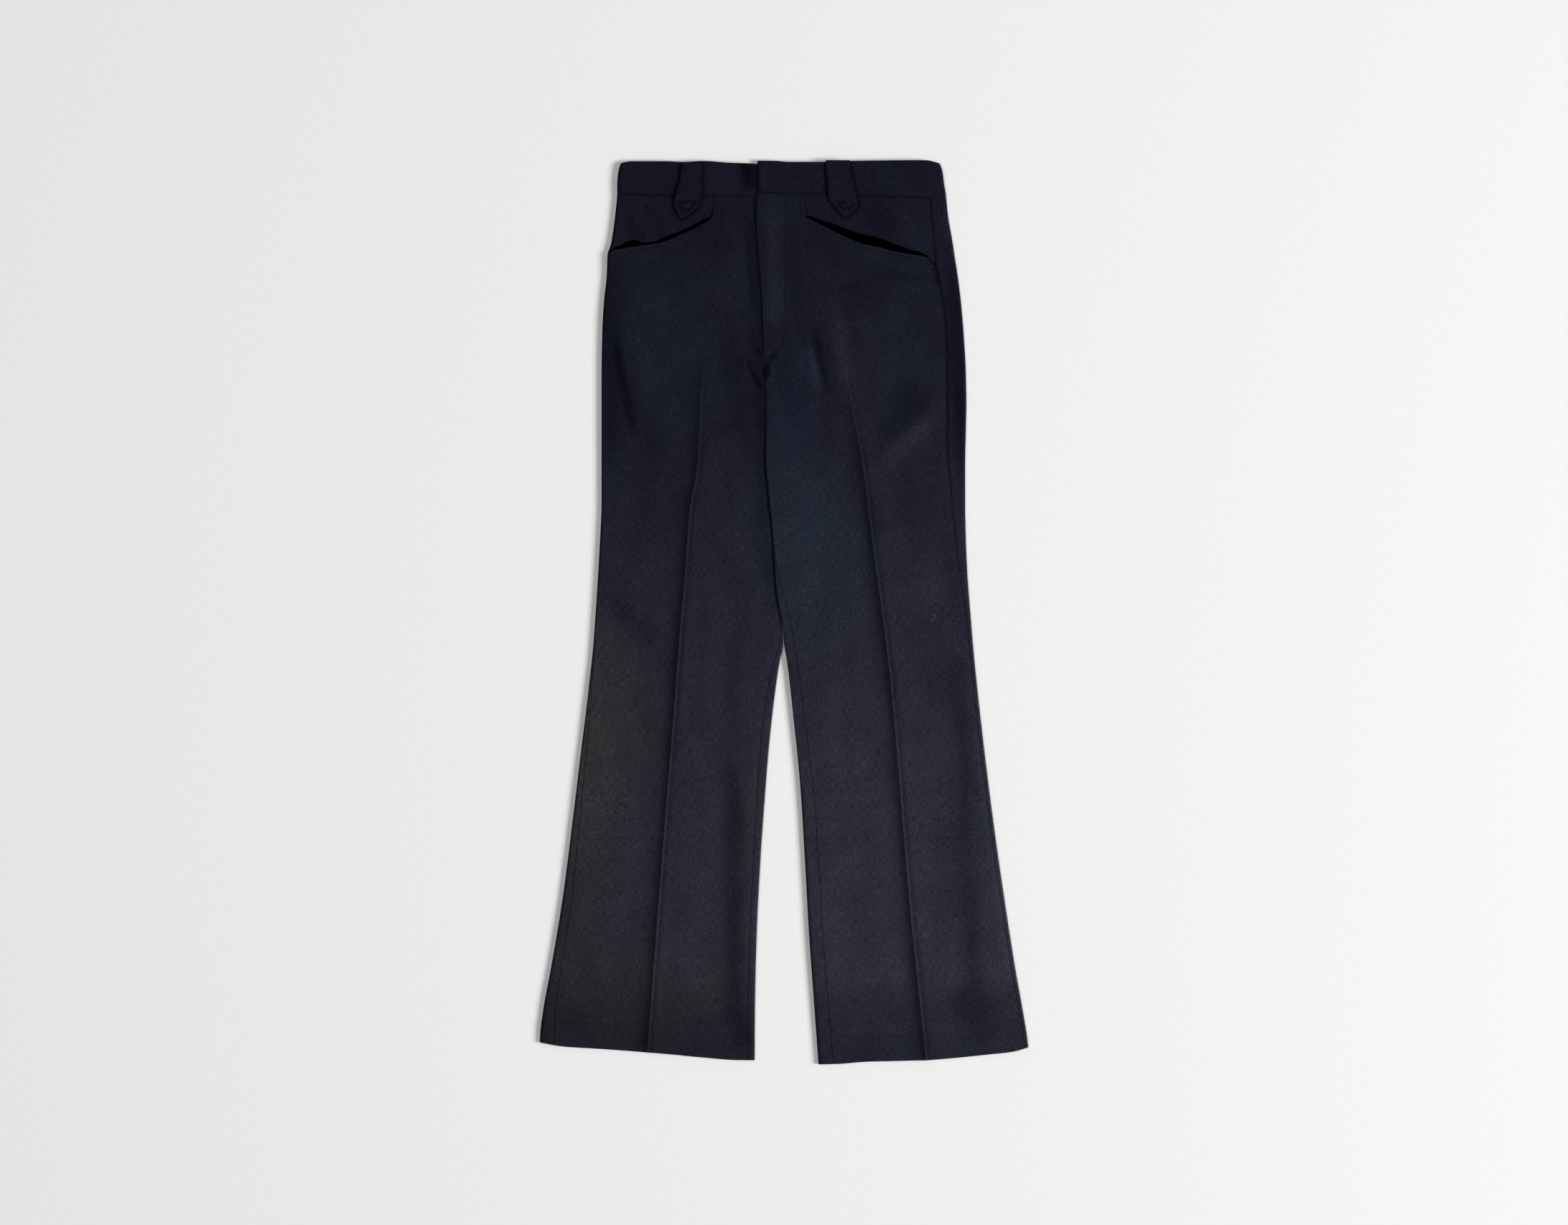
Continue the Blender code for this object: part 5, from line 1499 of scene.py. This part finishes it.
@dataclass
class FrontLoop:
    """A wide belt loop with a pointed end, from above the waistband to below its seam."""

    yoke: PocketYoke
    width: float = 30.0  # the columns are spaced for this width
    edge_stitch: float = 2.4  # distance of the stitch line from the edge
    lift: float = 0.1
    arch: float = 0.5  # how far it stands off the band between its ends
    arch_low: float = 484.0
    arch_high: float = 532.0

    def __post_init__(self) -> None:
        """Makes the curves of the loop's two sides."""
        self.strips = FRONT_LOOP[self.yoke.half.side.word]
        self.sides = [SmoothLine.through(self.strips, "y", name) for name in ("x1", "x2")]

    def stitch_path(self) -> Array:
        """The loop's stitch line, inside its edge all round the free sides.

        Returns:
            Points down one side and up the other.
        """
        top, low = self.strips[0].y - 2.0, self.strips[-1].y + 4.6
        y = np.linspace(top, low, 24)
        inset = self.edge_stitch * (1.0 + 0.55 * ease((low + 16.0 - y) / 12.0))
        left, right = (side(y) for side in self.sides)
        down, up = np.stack([left + inset, y], axis=1), np.stack([right - inset, y], axis=1)
        return np.concatenate([down, up[::-1]])

    def surface(self, x: Array, y: Array) -> Array:
        """Height of the upper face of the waistband, or of the yoke below it.

        Args:
            x: Side positions.
            y: Heights along the garment.

        Returns:
            The height under the loop.
        """
        half = self.yoke.half
        w = half.width(y, x)
        level = Tube(half, y, CLOTH).level(w) + half.crease_relief(y, w)
        yoke = level - self.yoke.drop(x, y) + 0.5 * CLOTH
        over_band = ease((y - half.band_seam(x) + 5.0) / 5.0)
        return yoke + (BAND_FRONT_TOP - yoke) * over_band

    def build(self) -> Piece:
        """Makes the loop's mesh.

        Returns:
            The object.
        """
        left, right = self.sides
        side = self.yoke.half.side
        top, low = self.strips[0].y, self.strips[-1].y
        y = stepped(low, top, 1.0, (0.0, 0.25, 0.6, 1.0))[:, None]
        across = stepped(0.0, self.width, 0.9, (0.0, 0.25, 0.6, 1.0))[None, :] / self.width
        x = left(y) + across * (right(y) - left(y))
        y = y + 0.0 * x
        base = self.surface(x, y) + SEAM_GAP + self.lift
        arch = self.arch * ease((self.arch_high - y) / 12.0) * ease((y - self.arch_low) / 12.0)
        arch += 0.27 * ease((y - top + 3.2) / 3.2)
        outline = loop_outline(side)
        edge = path_distance(outline + outline[:1], x, y)
        round_edge = 0.5 + 0.5 * np.sqrt(ease(edge / 1.4))
        line = groove(edge - self.edge_stitch, 0.6)
        upper = base + arch + 0.5 * LOOP_CLOTH * (1.0 + round_edge) - 0.22 * line
        upper += 0.10 * groove(edge - 1.2, 0.7)
        under = base + arch + 0.5 * LOOP_CLOTH * (1.0 - round_edge)
        # Painted highlight on the rim, painted shade in the stitch line, at the edge and under the
        # tacks
        wear = 0.30 * groove(edge - 1.4, 0.8) - 0.6 * line - 0.9 * near_edge(edge, 0.5)
        for tack in LOOP_TACKS[side.word]:
            ends = (Point(tack.x1, tack.y1), Point(tack.x2, tack.y2))
            wear -= 0.9 * near_edge(path_distance(ends, x, y), 0.9)
        return slab(f"cloth_belt_loop_front_{side.word}", x, y, upper, under, wear)


@dataclass
class BackLoop:
    """A plain belt loop between the table and the back of the waistband."""

    place: str
    half: Half

    def build(self) -> Piece:
        """Makes the loop's mesh.

        Returns:
            The object.
        """
        centre = BACK_LOOPS[self.place]
        across = stepped(-0.5, 0.5, 0.08, (0.0, 0.02, 0.05))[None, :] * BACK_LOOP_WIDTH
        low = float(self.half.band_seam(centre)) + BACK_LOOP_INSET
        high = float(self.half.band_top(centre)) - 1.5
        y = stepped(low, high, 1.6, (0.0, 0.3, 0.8))[:, None]
        x = centre + across + 0.0 * y
        y = y + 0.0 * x
        edge = np.minimum(0.5 * BACK_LOOP_WIDTH - np.abs(x - centre), np.minimum(y - low, high - y))
        top = BACK_LOOP_CLOTH * (0.55 + 0.45 * np.sqrt(ease(edge / 1.2)))
        line = groove(edge - 2.0, 0.6)
        # Painted shade in the stitch line
        return slab(f"cloth_belt_loop_back_{self.place}", x, y, top - 0.15 * line, 0.12 * line,
                    -0.4 * line)


@dataclass
class Threads:
    """Stitches laid on the cloth, each a copy of one stitch, joined to one mesh."""

    cloth: Sequence[Piece]
    sides: int = 6
    rings: int = 6
    trees: list[BVHTree] = field(default_factory=list)

    def __post_init__(self) -> None:
        """Models the one stitch and makes the cloth ready to be found."""
        bpy.ops.object.select_all(action="DESELECT")
        bpy.ops.mesh.primitive_uv_sphere_add(segments=self.sides, ring_count=self.rings, radius=0.5)
        stitch = bpy.context.object
        bpy.ops.object.mode_set(mode="EDIT")
        bpy.ops.mesh.select_all(action="SELECT")
        bpy.ops.transform.resize(value=(0.86, 1.0, 1.0))
        bpy.ops.object.mode_set(mode="OBJECT")
        self.points = np.array([vertex.co[:] for vertex in stitch.data.vertices])
        self.faces = [tuple(face.vertices) for face in stitch.data.polygons]
        bpy.data.objects.remove(stitch, do_unlink=True)
        for piece in self.cloth:
            points = [vertex.co for vertex in piece.data.vertices]
            faces = [tuple(face.vertices) for face in piece.data.polygons]
            self.trees.append(BVHTree.FromPolygons(points, faces))

    def surface(self, x: float, y: float) -> float:
        """Height of the highest cloth at a place.

        Args:
            x: Side position in millimetres.
            y: Height along the garment in millimetres.

        Returns:
            The height in millimetres.
        """
        above = Vector((x * MM, y * MM, 0.1))
        hits = [tree.ray_cast(above, Vector((0.0, 0.0, -1.0)))[0] for tree in self.trees]
        return max((hit.z for hit in hits if hit is not None), default=0.0) / MM

    def stitch(self, x1: float, y1: float, x2: float, y2: float, thickness: float,
               sink: float = 0.25, flat: float = 0.8) -> Array:
        """Lays one stitch on the cloth.

        Args:
            x1: Side position of its start, in millimetres.
            y1: Height of its start.
            x2: Side position of its end.
            y2: Height of its end.
            thickness: Thickness of the thread.
            sink: How much of the thickness lies in the cloth.
            flat: Height of the thread as a share of its thickness.

        Returns:
            The stitch's points in metres.
        """
        start = np.array([x1, y1, self.surface(x1, y1)])
        end = np.array([x2, y2, self.surface(x2, y2)])
        along = end - start
        length = np.linalg.norm(along)
        across = np.array([-along[1], along[0], 0.0]) / max(math.hypot(along[0], along[1]), 1e-6)
        up = np.cross(along / length, across)
        middle = 0.5 * (start + end) + up * thickness * flat * (0.5 - sink)
        axes = np.stack([across * thickness, up * thickness * flat, along])
        return (middle + self.points @ axes) * MM

    def join(self, name: str, stitches: Sequence[Array], finish: Finish) -> Piece:
        """Joins stitches to one piece that rides with the garment.

        Args:
            name: Name of the piece.
            stitches: Points of each stitch.
            finish: Its material.

        Returns:
            The piece.
        """
        count = len(self.points)
        faces = [[index + count * number for index in face]
                 for number in range(len(stitches)) for face in self.faces]
        mesh = bpy.data.meshes.new(name)
        mesh.from_pydata(np.concatenate(stitches).tolist(), [], faces)
        mesh.shade_smooth()
        piece = put_in_scene(name, mesh)
        mesh.materials.append(finish)
        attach(piece, BODY)
        log.info("%s: %d stitches", name, len(stitches))
        return piece

    def row(self, path: Sequence[Point] | Array, pitch: float = 2.7, length: float = 2.1,
            thickness: float = 0.36) -> list[Array]:
        """A row of lockstitches along a line.

        Args:
            path: Points of the line.
            pitch: Distance from stitch to stitch.
            length: Length of the thread that shows of each.
            thickness: Thickness of the thread.

        Returns:
            The points of each stitch.
        """
        xs, ys = np.array(path).T
        run = np.concatenate([[0.0], np.cumsum(np.hypot(np.diff(xs), np.diff(ys)))])
        starts = np.arange(0.3, run[-1] - length, pitch)
        places = [np.interp(at, run, line) for at in (starts, starts + length) for line in (xs, ys)]
        return [self.stitch(*place, thickness, sink=0.45) for place in zip(*places)]

    def tack(self, tack: Mark, pitch: float = 0.42, thickness: float = 0.42) -> list[Array]:
        """Close stitches across a short line, with a thread along it under them.

        Args:
            tack: Where the line runs and how wide the stitches are.
            pitch: Distance from stitch to stitch.
            thickness: Thickness of the thread.

        Returns:
            The points of each stitch.
        """
        dx, dy = tack.x2 - tack.x1, tack.y2 - tack.y1
        length = math.hypot(dx, dy)
        side_x, side_y = -dy / length * 0.5 * tack.width, dx / length * 0.5 * tack.width
        made = []
        for number in range(max(3, round(length / pitch))):
            share = (number + 0.5) * pitch / length
            x, y = tack.x1 + share * dx, tack.y1 + share * dy
            lean = (0.12 if number % 2 else -0.12) / length
            made.append(self.stitch(x - side_x + lean * dx, y - side_y, x + side_x,
                                    y + side_y + lean * dy, thickness, sink=0.1))
        return made


@dataclass(frozen=True)
class Hex:
    """A colour as it is named on screens, such as 1b1a26."""

    code: str

    @property
    def linear(self) -> tuple[float, float, float, float]:
        """The colour as Blender's shaders take it.

        Returns:
            Red, green, blue and opacity.
        """
        parts = [int(self.code[i:i + 2], 16) / 255.0 for i in (0, 2, 4)]
        light = [p / 12.92 if p <= 0.04045 else ((p + 0.055) / 1.055) ** 2.4 for p in parts]
        return light[0], light[1], light[2], 1.0


def add_node(tree: bpy.types.NodeTree, kind: str, settings: dict[str, object] | None = None,
             links: dict[str | int, object] | None = None) -> bpy.types.Node:
    """Adds a node with its settings and inputs.

    Args:
        tree: Node tree of a material or a world.
        kind: The node's type, without the word ShaderNode that it begins with.
        settings: Properties to set.
        links: Inputs by name or number, each with a value or with the output to link.

    Returns:
        The node.
    """
    node = tree.nodes.new(f"ShaderNode{kind}")
    for name, value in (settings or {}).items():
        setattr(node, name, value)
    for name, value in (links or {}).items():
        if isinstance(value, bpy.types.NodeSocket):
            tree.links.new(value, node.inputs[name])
        else:
            node.inputs[name].default_value = value
    return node


def new_material(name: str) -> tuple[Finish, bpy.types.NodeTree]:
    """An empty material with nodes.

    Args:
        name: Name of the material.

    Returns:
        The material and its node tree.
    """
    material = bpy.data.materials.new(name)
    material.use_nodes = True
    material.node_tree.nodes.clear()
    return material, material.node_tree


class TintZone(NamedTuple):
    """A soft oval of other colour on the cloth: its middle and reach in metres."""

    x: float
    y: float
    reach_x: float
    reach_y: float
    share: float
    colour: Hex


TINT_ZONES = tuple(TintZone(*row[:5], Hex(row[5])) for row in (
    (-0.146, 0.343, 0.075, 0.120, 0.32, "19282f"), (0.032, 0.090, 0.085, 0.170, 0.32, "1e2f37"),
    (0.012, 0.243, 0.050, 0.105, 0.35, "1a2230"), (-0.163, 0.045, 0.100, 0.110, 0.30, "2b2630"),
    (0.168, 0.045, 0.070, 0.170, 0.30, "2a2530"), (-0.227, -0.167, 0.075, 0.190, 0.50, "32322f"),
    (0.117, -0.295, 0.140, 0.200, 0.25, "2f2c36"), (-0.189, -0.448, 0.140, 0.090, 0.45, "2c2e2b"),
    (0.075, 0.249, 0.050, 0.080, 0.25, "29242e"), (-0.120, -0.330, 0.050, 0.200, 0.30, "2e2a38"),
))


@dataclass(frozen=True)
class Suiting:
    """Black-navy suiting of wool and polyester in a fine close weave, pressed and worn.

    Uneven yarn gives short lighter dashes along warp and weft. The fuzz of the fibres gives a
    weak soft sheen, so the cloth never goes quite black. Painted light makes the colour lighter
    and greyer from the waist down to the legs, and the pieces' painted light and shade make it
    lighter or darker in places.
    """

    name: str = "wool_suiting"
    # Painted light: the legs' colour is lighter and greyer than the waist's
    waist: Hex = Hex("191925")
    legs: Hex = Hex("2b2a30")
    fade_from: float = 0.50  # painted light: height in metres below which the waist's colour turns to the lighter legs'
    fade_to: float = -0.28
    plum: Hex = Hex("252030")
    teal: Hex = Hex("1c282d")
    thread_mm: float = 1.0  # real threads lie 0.45 mm apart, drawn coarser so they show
    slub_mm: float = 1.3  # width of an uneven yarn's dash; its length is the next value
    slub_length_mm: float = 8.0
    fuzz_mm: float = 1.1  # size of the specks that loose fibres make
    patch_mm: float = 130.0  # size of the faint patches of other colour
    roughness: float = 0.86
    sheen: float = 0.10
    sheen_tint: Hex = Hex("7c78a8")
    gloss_tint: Hex = Hex("9c98d4")
    bump_mm: float = 0.25
    tint: float = 0.24  # how strongly the chance patches show
    wear_base: float = 2.0  # one unit of painted light and wear makes the cloth so many times lighter
    wear_fade: float = 0.35  # and moves it so far from navy to grey

    def material(self) -> Finish:
        """Makes the cloth's nodes.

        Returns:
            The material.
        """
        material, tree = new_material(self.name)
        add = partial(add_node, tree)
        spot = add("TexCoord").outputs["Object"]
        cloth = add("UVMap", {"uv_map": "cloth"}).outputs["UV"]
        across, along = 1.0 / (self.slub_mm * MM), 1.0 / (self.slub_length_mm * MM)
        slubs = []
        for scale in ((across, along, 1.0), (along * 1.3, across, 1.0)):
            mapped = add("Mapping", links={"Vector": cloth, "Scale": scale})
            noise = add("TexNoise", links={
                "Vector": mapped.outputs[0], "Scale": 1.0, "Detail": 2.0, "Roughness": 0.6})
            slubs.append(noise.outputs["Fac"])
        yarn = add("Math", {"operation": "ADD"}, {0: slubs[0], 1: slubs[1]})
        ridges = []
        wave_scale = 2.0 * math.pi / 20.0 / (self.thread_mm * MM)
        for direction in ("X", "Y"):
            wave = add("TexWave", {"bands_direction": direction}, {
                "Vector": cloth, "Scale": wave_scale, "Distortion": 1.2, "Detail": 1.0})
            ridges.append(wave.outputs["Fac"])
        weave = add("Math", {"operation": "MULTIPLY"}, {0: ridges[0], 1: ridges[1]})
        height = add("SeparateXYZ", links={"Vector": spot})
        # Painted light: the colour turns from the waist's to the legs' between two heights
        legs_share = add("MapRange", {"interpolation_type": "SMOOTHSTEP"}, {
            "Value": height.outputs["Y"], "From Min": self.fade_from, "From Max": self.fade_to})
        wear = add("Attribute", {"attribute_name": "wear"}).outputs["Fac"]
        grey = add("Math", {"operation": "MULTIPLY_ADD"}, {
            0: wear, 1: self.wear_fade, 2: legs_share.outputs[0]})
        tints = [(grey, self.legs)]
        patches = []
        for scale, other in ((0.9, self.plum), (1.3, self.teal)):
            patches.append(add("TexNoise", links={
                "Vector": spot, "Scale": scale / (self.patch_mm * MM), "Detail": 1.0}))
            share = add("MapRange", links={
                "Value": patches[-1].outputs["Fac"], "From Min": 0.42, "From Max": 0.64,
                "To Max": self.tint})
            tints.append((share, other))
        for zone in TINT_ZONES:
            away = add("Mapping", {"vector_type": "TEXTURE"}, {
                "Vector": spot, "Location": (zone.x, zone.y, 0.0),
                "Scale": (zone.reach_x, zone.reach_y, 10.0)})
            far = add("VectorMath", {"operation": "LENGTH"}, {0: away.outputs[0]})
            uneven = add("Math", {"operation": "ADD"}, {
                0: far.outputs["Value"], 1: patches[0].outputs["Fac"]})
            share = add("MapRange", {"interpolation_type": "SMOOTHSTEP"}, {
                "Value": uneven.outputs[0], "From Min": 1.6, "From Max": 0.6,
                "To Max": zone.share})
            tints.append((share, zone.colour))
        colour: object = self.waist.linear
        for share, other in tints:
            mix = add("Mix", {"data_type": "RGBA"}, {
                0: share.outputs[0], 6: colour, 7: other.linear})
            colour = mix.outputs[2]
        fuzz = add("TexNoise", links={
            "Vector": cloth, "Scale": 1.0 / (self.fuzz_mm * MM), "Detail": 3.0, "Roughness": 0.8})
        # Painted light and shade, with some wear, lighten or darken the cloth
        level = add("Math", {"operation": "POWER"}, {0: self.wear_base, 1: wear})
        for source, low, high, dark, light in (
                (yarn.outputs[0], 0.7, 1.3, 0.56, 1.46), (weave.outputs[0], 0.0, 1.0, 0.88, 1.24),
                (fuzz.outputs["Fac"], 0.3, 0.7, 0.56, 1.46)):
            share = add("MapRange", links={
                "Value": source, "From Min": low, "From Max": high, "To Min": dark,
                "To Max": light})
            level = add("Math", {"operation": "MULTIPLY"}, {
                0: level.outputs[0], 1: share.outputs[0]})
        shown = add("VectorMath", {"operation": "SCALE"}, {0: colour, "Scale": level.outputs[0]})
        relief = add("Math", {"operation": "MULTIPLY_ADD"}, {
            0: weave.outputs[0], 1: 0.5, 2: yarn.outputs[0]})
        bump = add("Bump", links={
            "Height": relief.outputs[0], "Strength": 0.55, "Distance": self.bump_mm * MM})
        shader = add("BsdfPrincipled", links={
            "Base Color": shown.outputs[0], "Normal": bump.outputs[0],
            "Roughness": self.roughness, "IOR": 1.5, "Specular IOR Level": 0.14,
            "Sheen Weight": self.sheen, "Sheen Roughness": 0.45,
            "Sheen Tint": self.sheen_tint.linear, "Specular Tint": self.gloss_tint.linear})
        add("OutputMaterial", links={"Surface": shader.outputs[0]})
        return material


@dataclass(frozen=True)
class PlainCloth:
    """A plain close cloth or thread, such as cotton pocketing or spun polyester thread.

    Its fibres leave a dull, slightly speckled face.
    """

    name: str
    colour: Hex
    light: Hex
    grain_mm: float
    roughness: float = 0.9
    gloss: float = 0.05
    bump_mm: float = 0.12

    def material(self) -> Finish:
        """Makes the finish's nodes.

        Returns:
            The material.
        """
        material, tree = new_material(self.name)
        add = partial(add_node, tree)
        speckle = add("TexNoise", links={
            "Vector": add("TexCoord").outputs["Object"], "Scale": 1.0 / (self.grain_mm * MM),
            "Detail": 3.0, "Roughness": 0.65}).outputs["Fac"]
        share = add("MapRange", links={"Value": speckle, "From Min": 0.35, "From Max": 0.7})
        mix = add("Mix", {"data_type": "RGBA"}, {
            0: share.outputs[0], 6: self.colour.linear, 7: self.light.linear})
        bump = add("Bump", links={
            "Height": speckle, "Strength": 0.5, "Distance": self.bump_mm * MM})
        shader = add("BsdfPrincipled", links={
            "Base Color": mix.outputs[2], "Normal": bump.outputs[0], "Roughness": self.roughness,
            "IOR": 1.5, "Specular IOR Level": self.gloss})
        add("OutputMaterial", links={"Surface": shader.outputs[0]})
        return material


@dataclass
class Studio:
    """A pale floor, soft light from above and from picture right, and the camera."""

    lens: float = 85.0
    height: float = 4.383  # the picture is then 1.856 m across at the floor
    floor_size: float = 14.0
    floor: PlainCloth = PlainCloth("matt_paper_floor", Hex("e5e5e5"), Hex("e7e7e7"), 6.0,
                                   bump_mm=0.02)
    ambient: float = 0.20

    def area_light(self, name: str, place: tuple[float, float, float], size: float, power: float,
                   aim: tuple[float, float, float] = (0.0, 0.0, 0.0)) -> Piece:
        """Adds a square soft light.

        Args:
            name: Name of the light.
            place: Where it hangs, in metres.
            size: Its side in metres.
            power: Its power in watts.
            aim: The point that it faces.

        Returns:
            The light.
        """
        data = bpy.data.lights.new(name, "AREA")
        data.size = size
        data.energy = power
        light = put_in_scene(name, data)
        light.location = place
        facing = Vector(aim) - Vector(place)
        light.rotation_euler = facing.to_track_quat("-Z", "Y").to_euler()
        light.visible_camera = False
        return light

    def build(self) -> None:
        """Makes the floor, the world, the lights and the camera."""
        scene = bpy.context.scene
        bpy.ops.object.select_all(action="DESELECT")
        bpy.ops.mesh.primitive_plane_add(size=self.floor_size, location=(0.0, 0.0, 0.0))
        floor = bpy.context.object
        floor.name = "floor"
        floor.data.materials.append(self.floor.material())
        floor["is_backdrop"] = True
        world = bpy.data.worlds.new("studio")
        world.use_nodes = True
        background = world.node_tree.nodes["Background"]
        background.inputs["Color"].default_value = (1.0, 1.0, 1.0, 1.0)
        background.inputs["Strength"].default_value = self.ambient
        scene.world = world
        self.area_light("key_light", (9.0, -1.2, 5.0), 3.4, 1250.0)
        self.area_light("top_light", (-2.6, 0.4, 7.0), 3.0, 225.0)
        legs = self.area_light("leg_light", (0.9, -0.6, 0.95), 0.7, 23.0, (0.0, -0.26, 0.0))
        cloth = bpy.data.collections.new("cloth_under_leg_light")
        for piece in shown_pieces():
            cloth.objects.link(piece)
        legs.light_linking.receiver_collection = cloth
        camera = put_in_scene("camera", bpy.data.cameras.new("camera"))
        camera.data.lens = self.lens
        camera.data.sensor_width = 36.0
        camera.data.clip_end = 50.0
        camera.location = (0.0, 0.0, self.height)
        scene.camera = camera
        scene.view_settings.view_transform = "Standard"
        scene.view_settings.gamma = 0.8


# Node, slot, flat width, length and area in metres on the right, and on the left where they
# differ, and what the piece lies on where that isn't the floor
CUTS = (
    ("back", "suiting", (0.330, 1.045, 0.240), None),
    ("front", "suiting", (0.270, 1.030, 0.215), None, "back"),
    ("pocketing", "pocket_cloth", (0.125, 0.045, 0.0050), (0.165, 0.054, 0.0073), "back"),
    ("pocket_yoke", "suiting", (0.125, 0.075, 0.0055), (0.155, 0.080, 0.0074), "pocketing"),
    ("waistband", "waistband_suiting", (0.410, 0.040, 0.0160), None),
    ("belt_loop_front", "loop_suiting", (0.034, 0.070, 0.0018), None, "waistband", "pocket_yoke"),
)
BACK_LOOP_CUT = (0.015, 0.036, 0.0005)


@dataclass
class Trousers:
    """The whole garment: its panels, its waistband and loops, and its stitching."""

    suiting: Finish
    pocket_cloth: Finish
    thread: Finish
    lint: Finish
    halves: dict[Side, Half] = field(default_factory=lambda: {side: Half(side) for side in Side})
    cloth: dict[str, Piece] = field(default_factory=dict)

    def build_cloth(self) -> None:
        """Makes every piece of cloth."""
        for side, half in self.halves.items():
            yoke = PocketYoke(half)
            self.cloth[f"front_{side.word}"] = FrontPanel(half).build()
            self.cloth[f"back_{side.word}"] = BackPanel(half).build()
            self.cloth[f"pocket_yoke_{side.word}"] = yoke.yoke()
            self.cloth[f"pocketing_{side.word}"] = yoke.pocketing()
            self.cloth[f"waistband_{side.word}"] = Waistband(half).build()
            self.cloth[f"belt_loop_front_{side.word}"] = FrontLoop(yoke).build()
        for place in BACK_LOOPS:
            half = self.halves[Side.LEFT if place == "left" else Side.RIGHT]
            self.cloth[f"belt_loop_back_{place}"] = BackLoop(place, half).build()

    def sew(self) -> dict[str, list[Piece]]:
        """Lays the stitches, the tacks and the lint on the cloth.

        Returns:
            The trims that go with each node's cloth.
        """
        threads = Threads([self.cloth[name] for name in self.cloth if "back" not in name])
        fly = threads.row(FLY_STITCH) + threads.tack(FLY_TACK)
        trims = {"front_left": [threads.join("thread_fly", fly, self.thread)], "front_right": []}
        for side, half in self.halves.items():
            made = threads.row([Point(p.x, p.y - POCKET_STITCH) for p in SLIT[side.word][1:-1]])
            for tack in POCKET_TACKS[side.word]:
                made += threads.tack(tack)
            trims[f"front_{side.word}"].append(
                threads.join(f"thread_pocket_{side.word}", made, self.thread))
            loop = FrontLoop(PocketYoke(half))
            made = threads.row(loop.stitch_path(), pitch=2.5, length=1.9)
            for tack in LOOP_TACKS[side.word]:
                made += threads.tack(tack)
            trims[f"belt_loop_front_{side.word}"] = [
                threads.join(f"thread_loop_{side.word}", made, self.thread)]
        bits = [threads.stitch(*bit, sink=0.0) for bit in LINT]
        threads.join("lint", bits, self.lint)
        return trims

    def build(self, cuts: Sequence[Cut]) -> None:
        """Makes, sews, dresses and hands over every piece.

        Args:
            cuts: The cut of each node's cloth.
        """
        self.build_cloth()
        trims = self.sew()
        for cut in cuts:
            finish = self.pocket_cloth if cut.slot == "pocket_cloth" else self.suiting
            cut.hand_over(self.cloth[cut.node], finish, trims.get(cut.node, ()))


def all_cuts() -> list[Cut]:
    """The cut of every piece of cloth: sizes of what shows, all round.

    Returns:
        One cut for each node.
    """
    cuts = []
    for side in ("right", "left"):
        for name, slot, right, left, *under in CUTS:
            size = left if left and side == "left" else right
            rests_on = tuple(f"cloth_{node}_{side}" for node in under) or ("floor",)
            cuts.append(Cut(f"{name}_{side}", slot, *size, rests_on))
    return cuts + [Cut(f"belt_loop_back_{place}", "loop_suiting", *BACK_LOOP_CUT, ("floor",))
                   for place in BACK_LOOPS]


def main() -> None:
    """Builds the garment and the studio."""
    logging.basicConfig(level=logging.INFO, format="%(name)s: %(message)s")
    trousers = Trousers(
        suiting=Suiting().material(),
        # The pocket cloth's near-black colour is painted shade in the pocket openings
        pocket_cloth=PlainCloth("cotton_pocketing", Hex("010102"), Hex("020203"), 2.0,
                                gloss=0.0).material(),
        thread=PlainCloth("spun_polyester_thread", Hex("0b0b12"), Hex("191922"), 0.8).material(),
        lint=PlainCloth("cotton_lint", Hex("5c5c66"), Hex("8c8c94"), 0.6).material(),
    )
    trousers.build(all_cuts())
    Studio().build()
    bpy.context.view_layer.update()


if __name__ == "__main__":
    main()
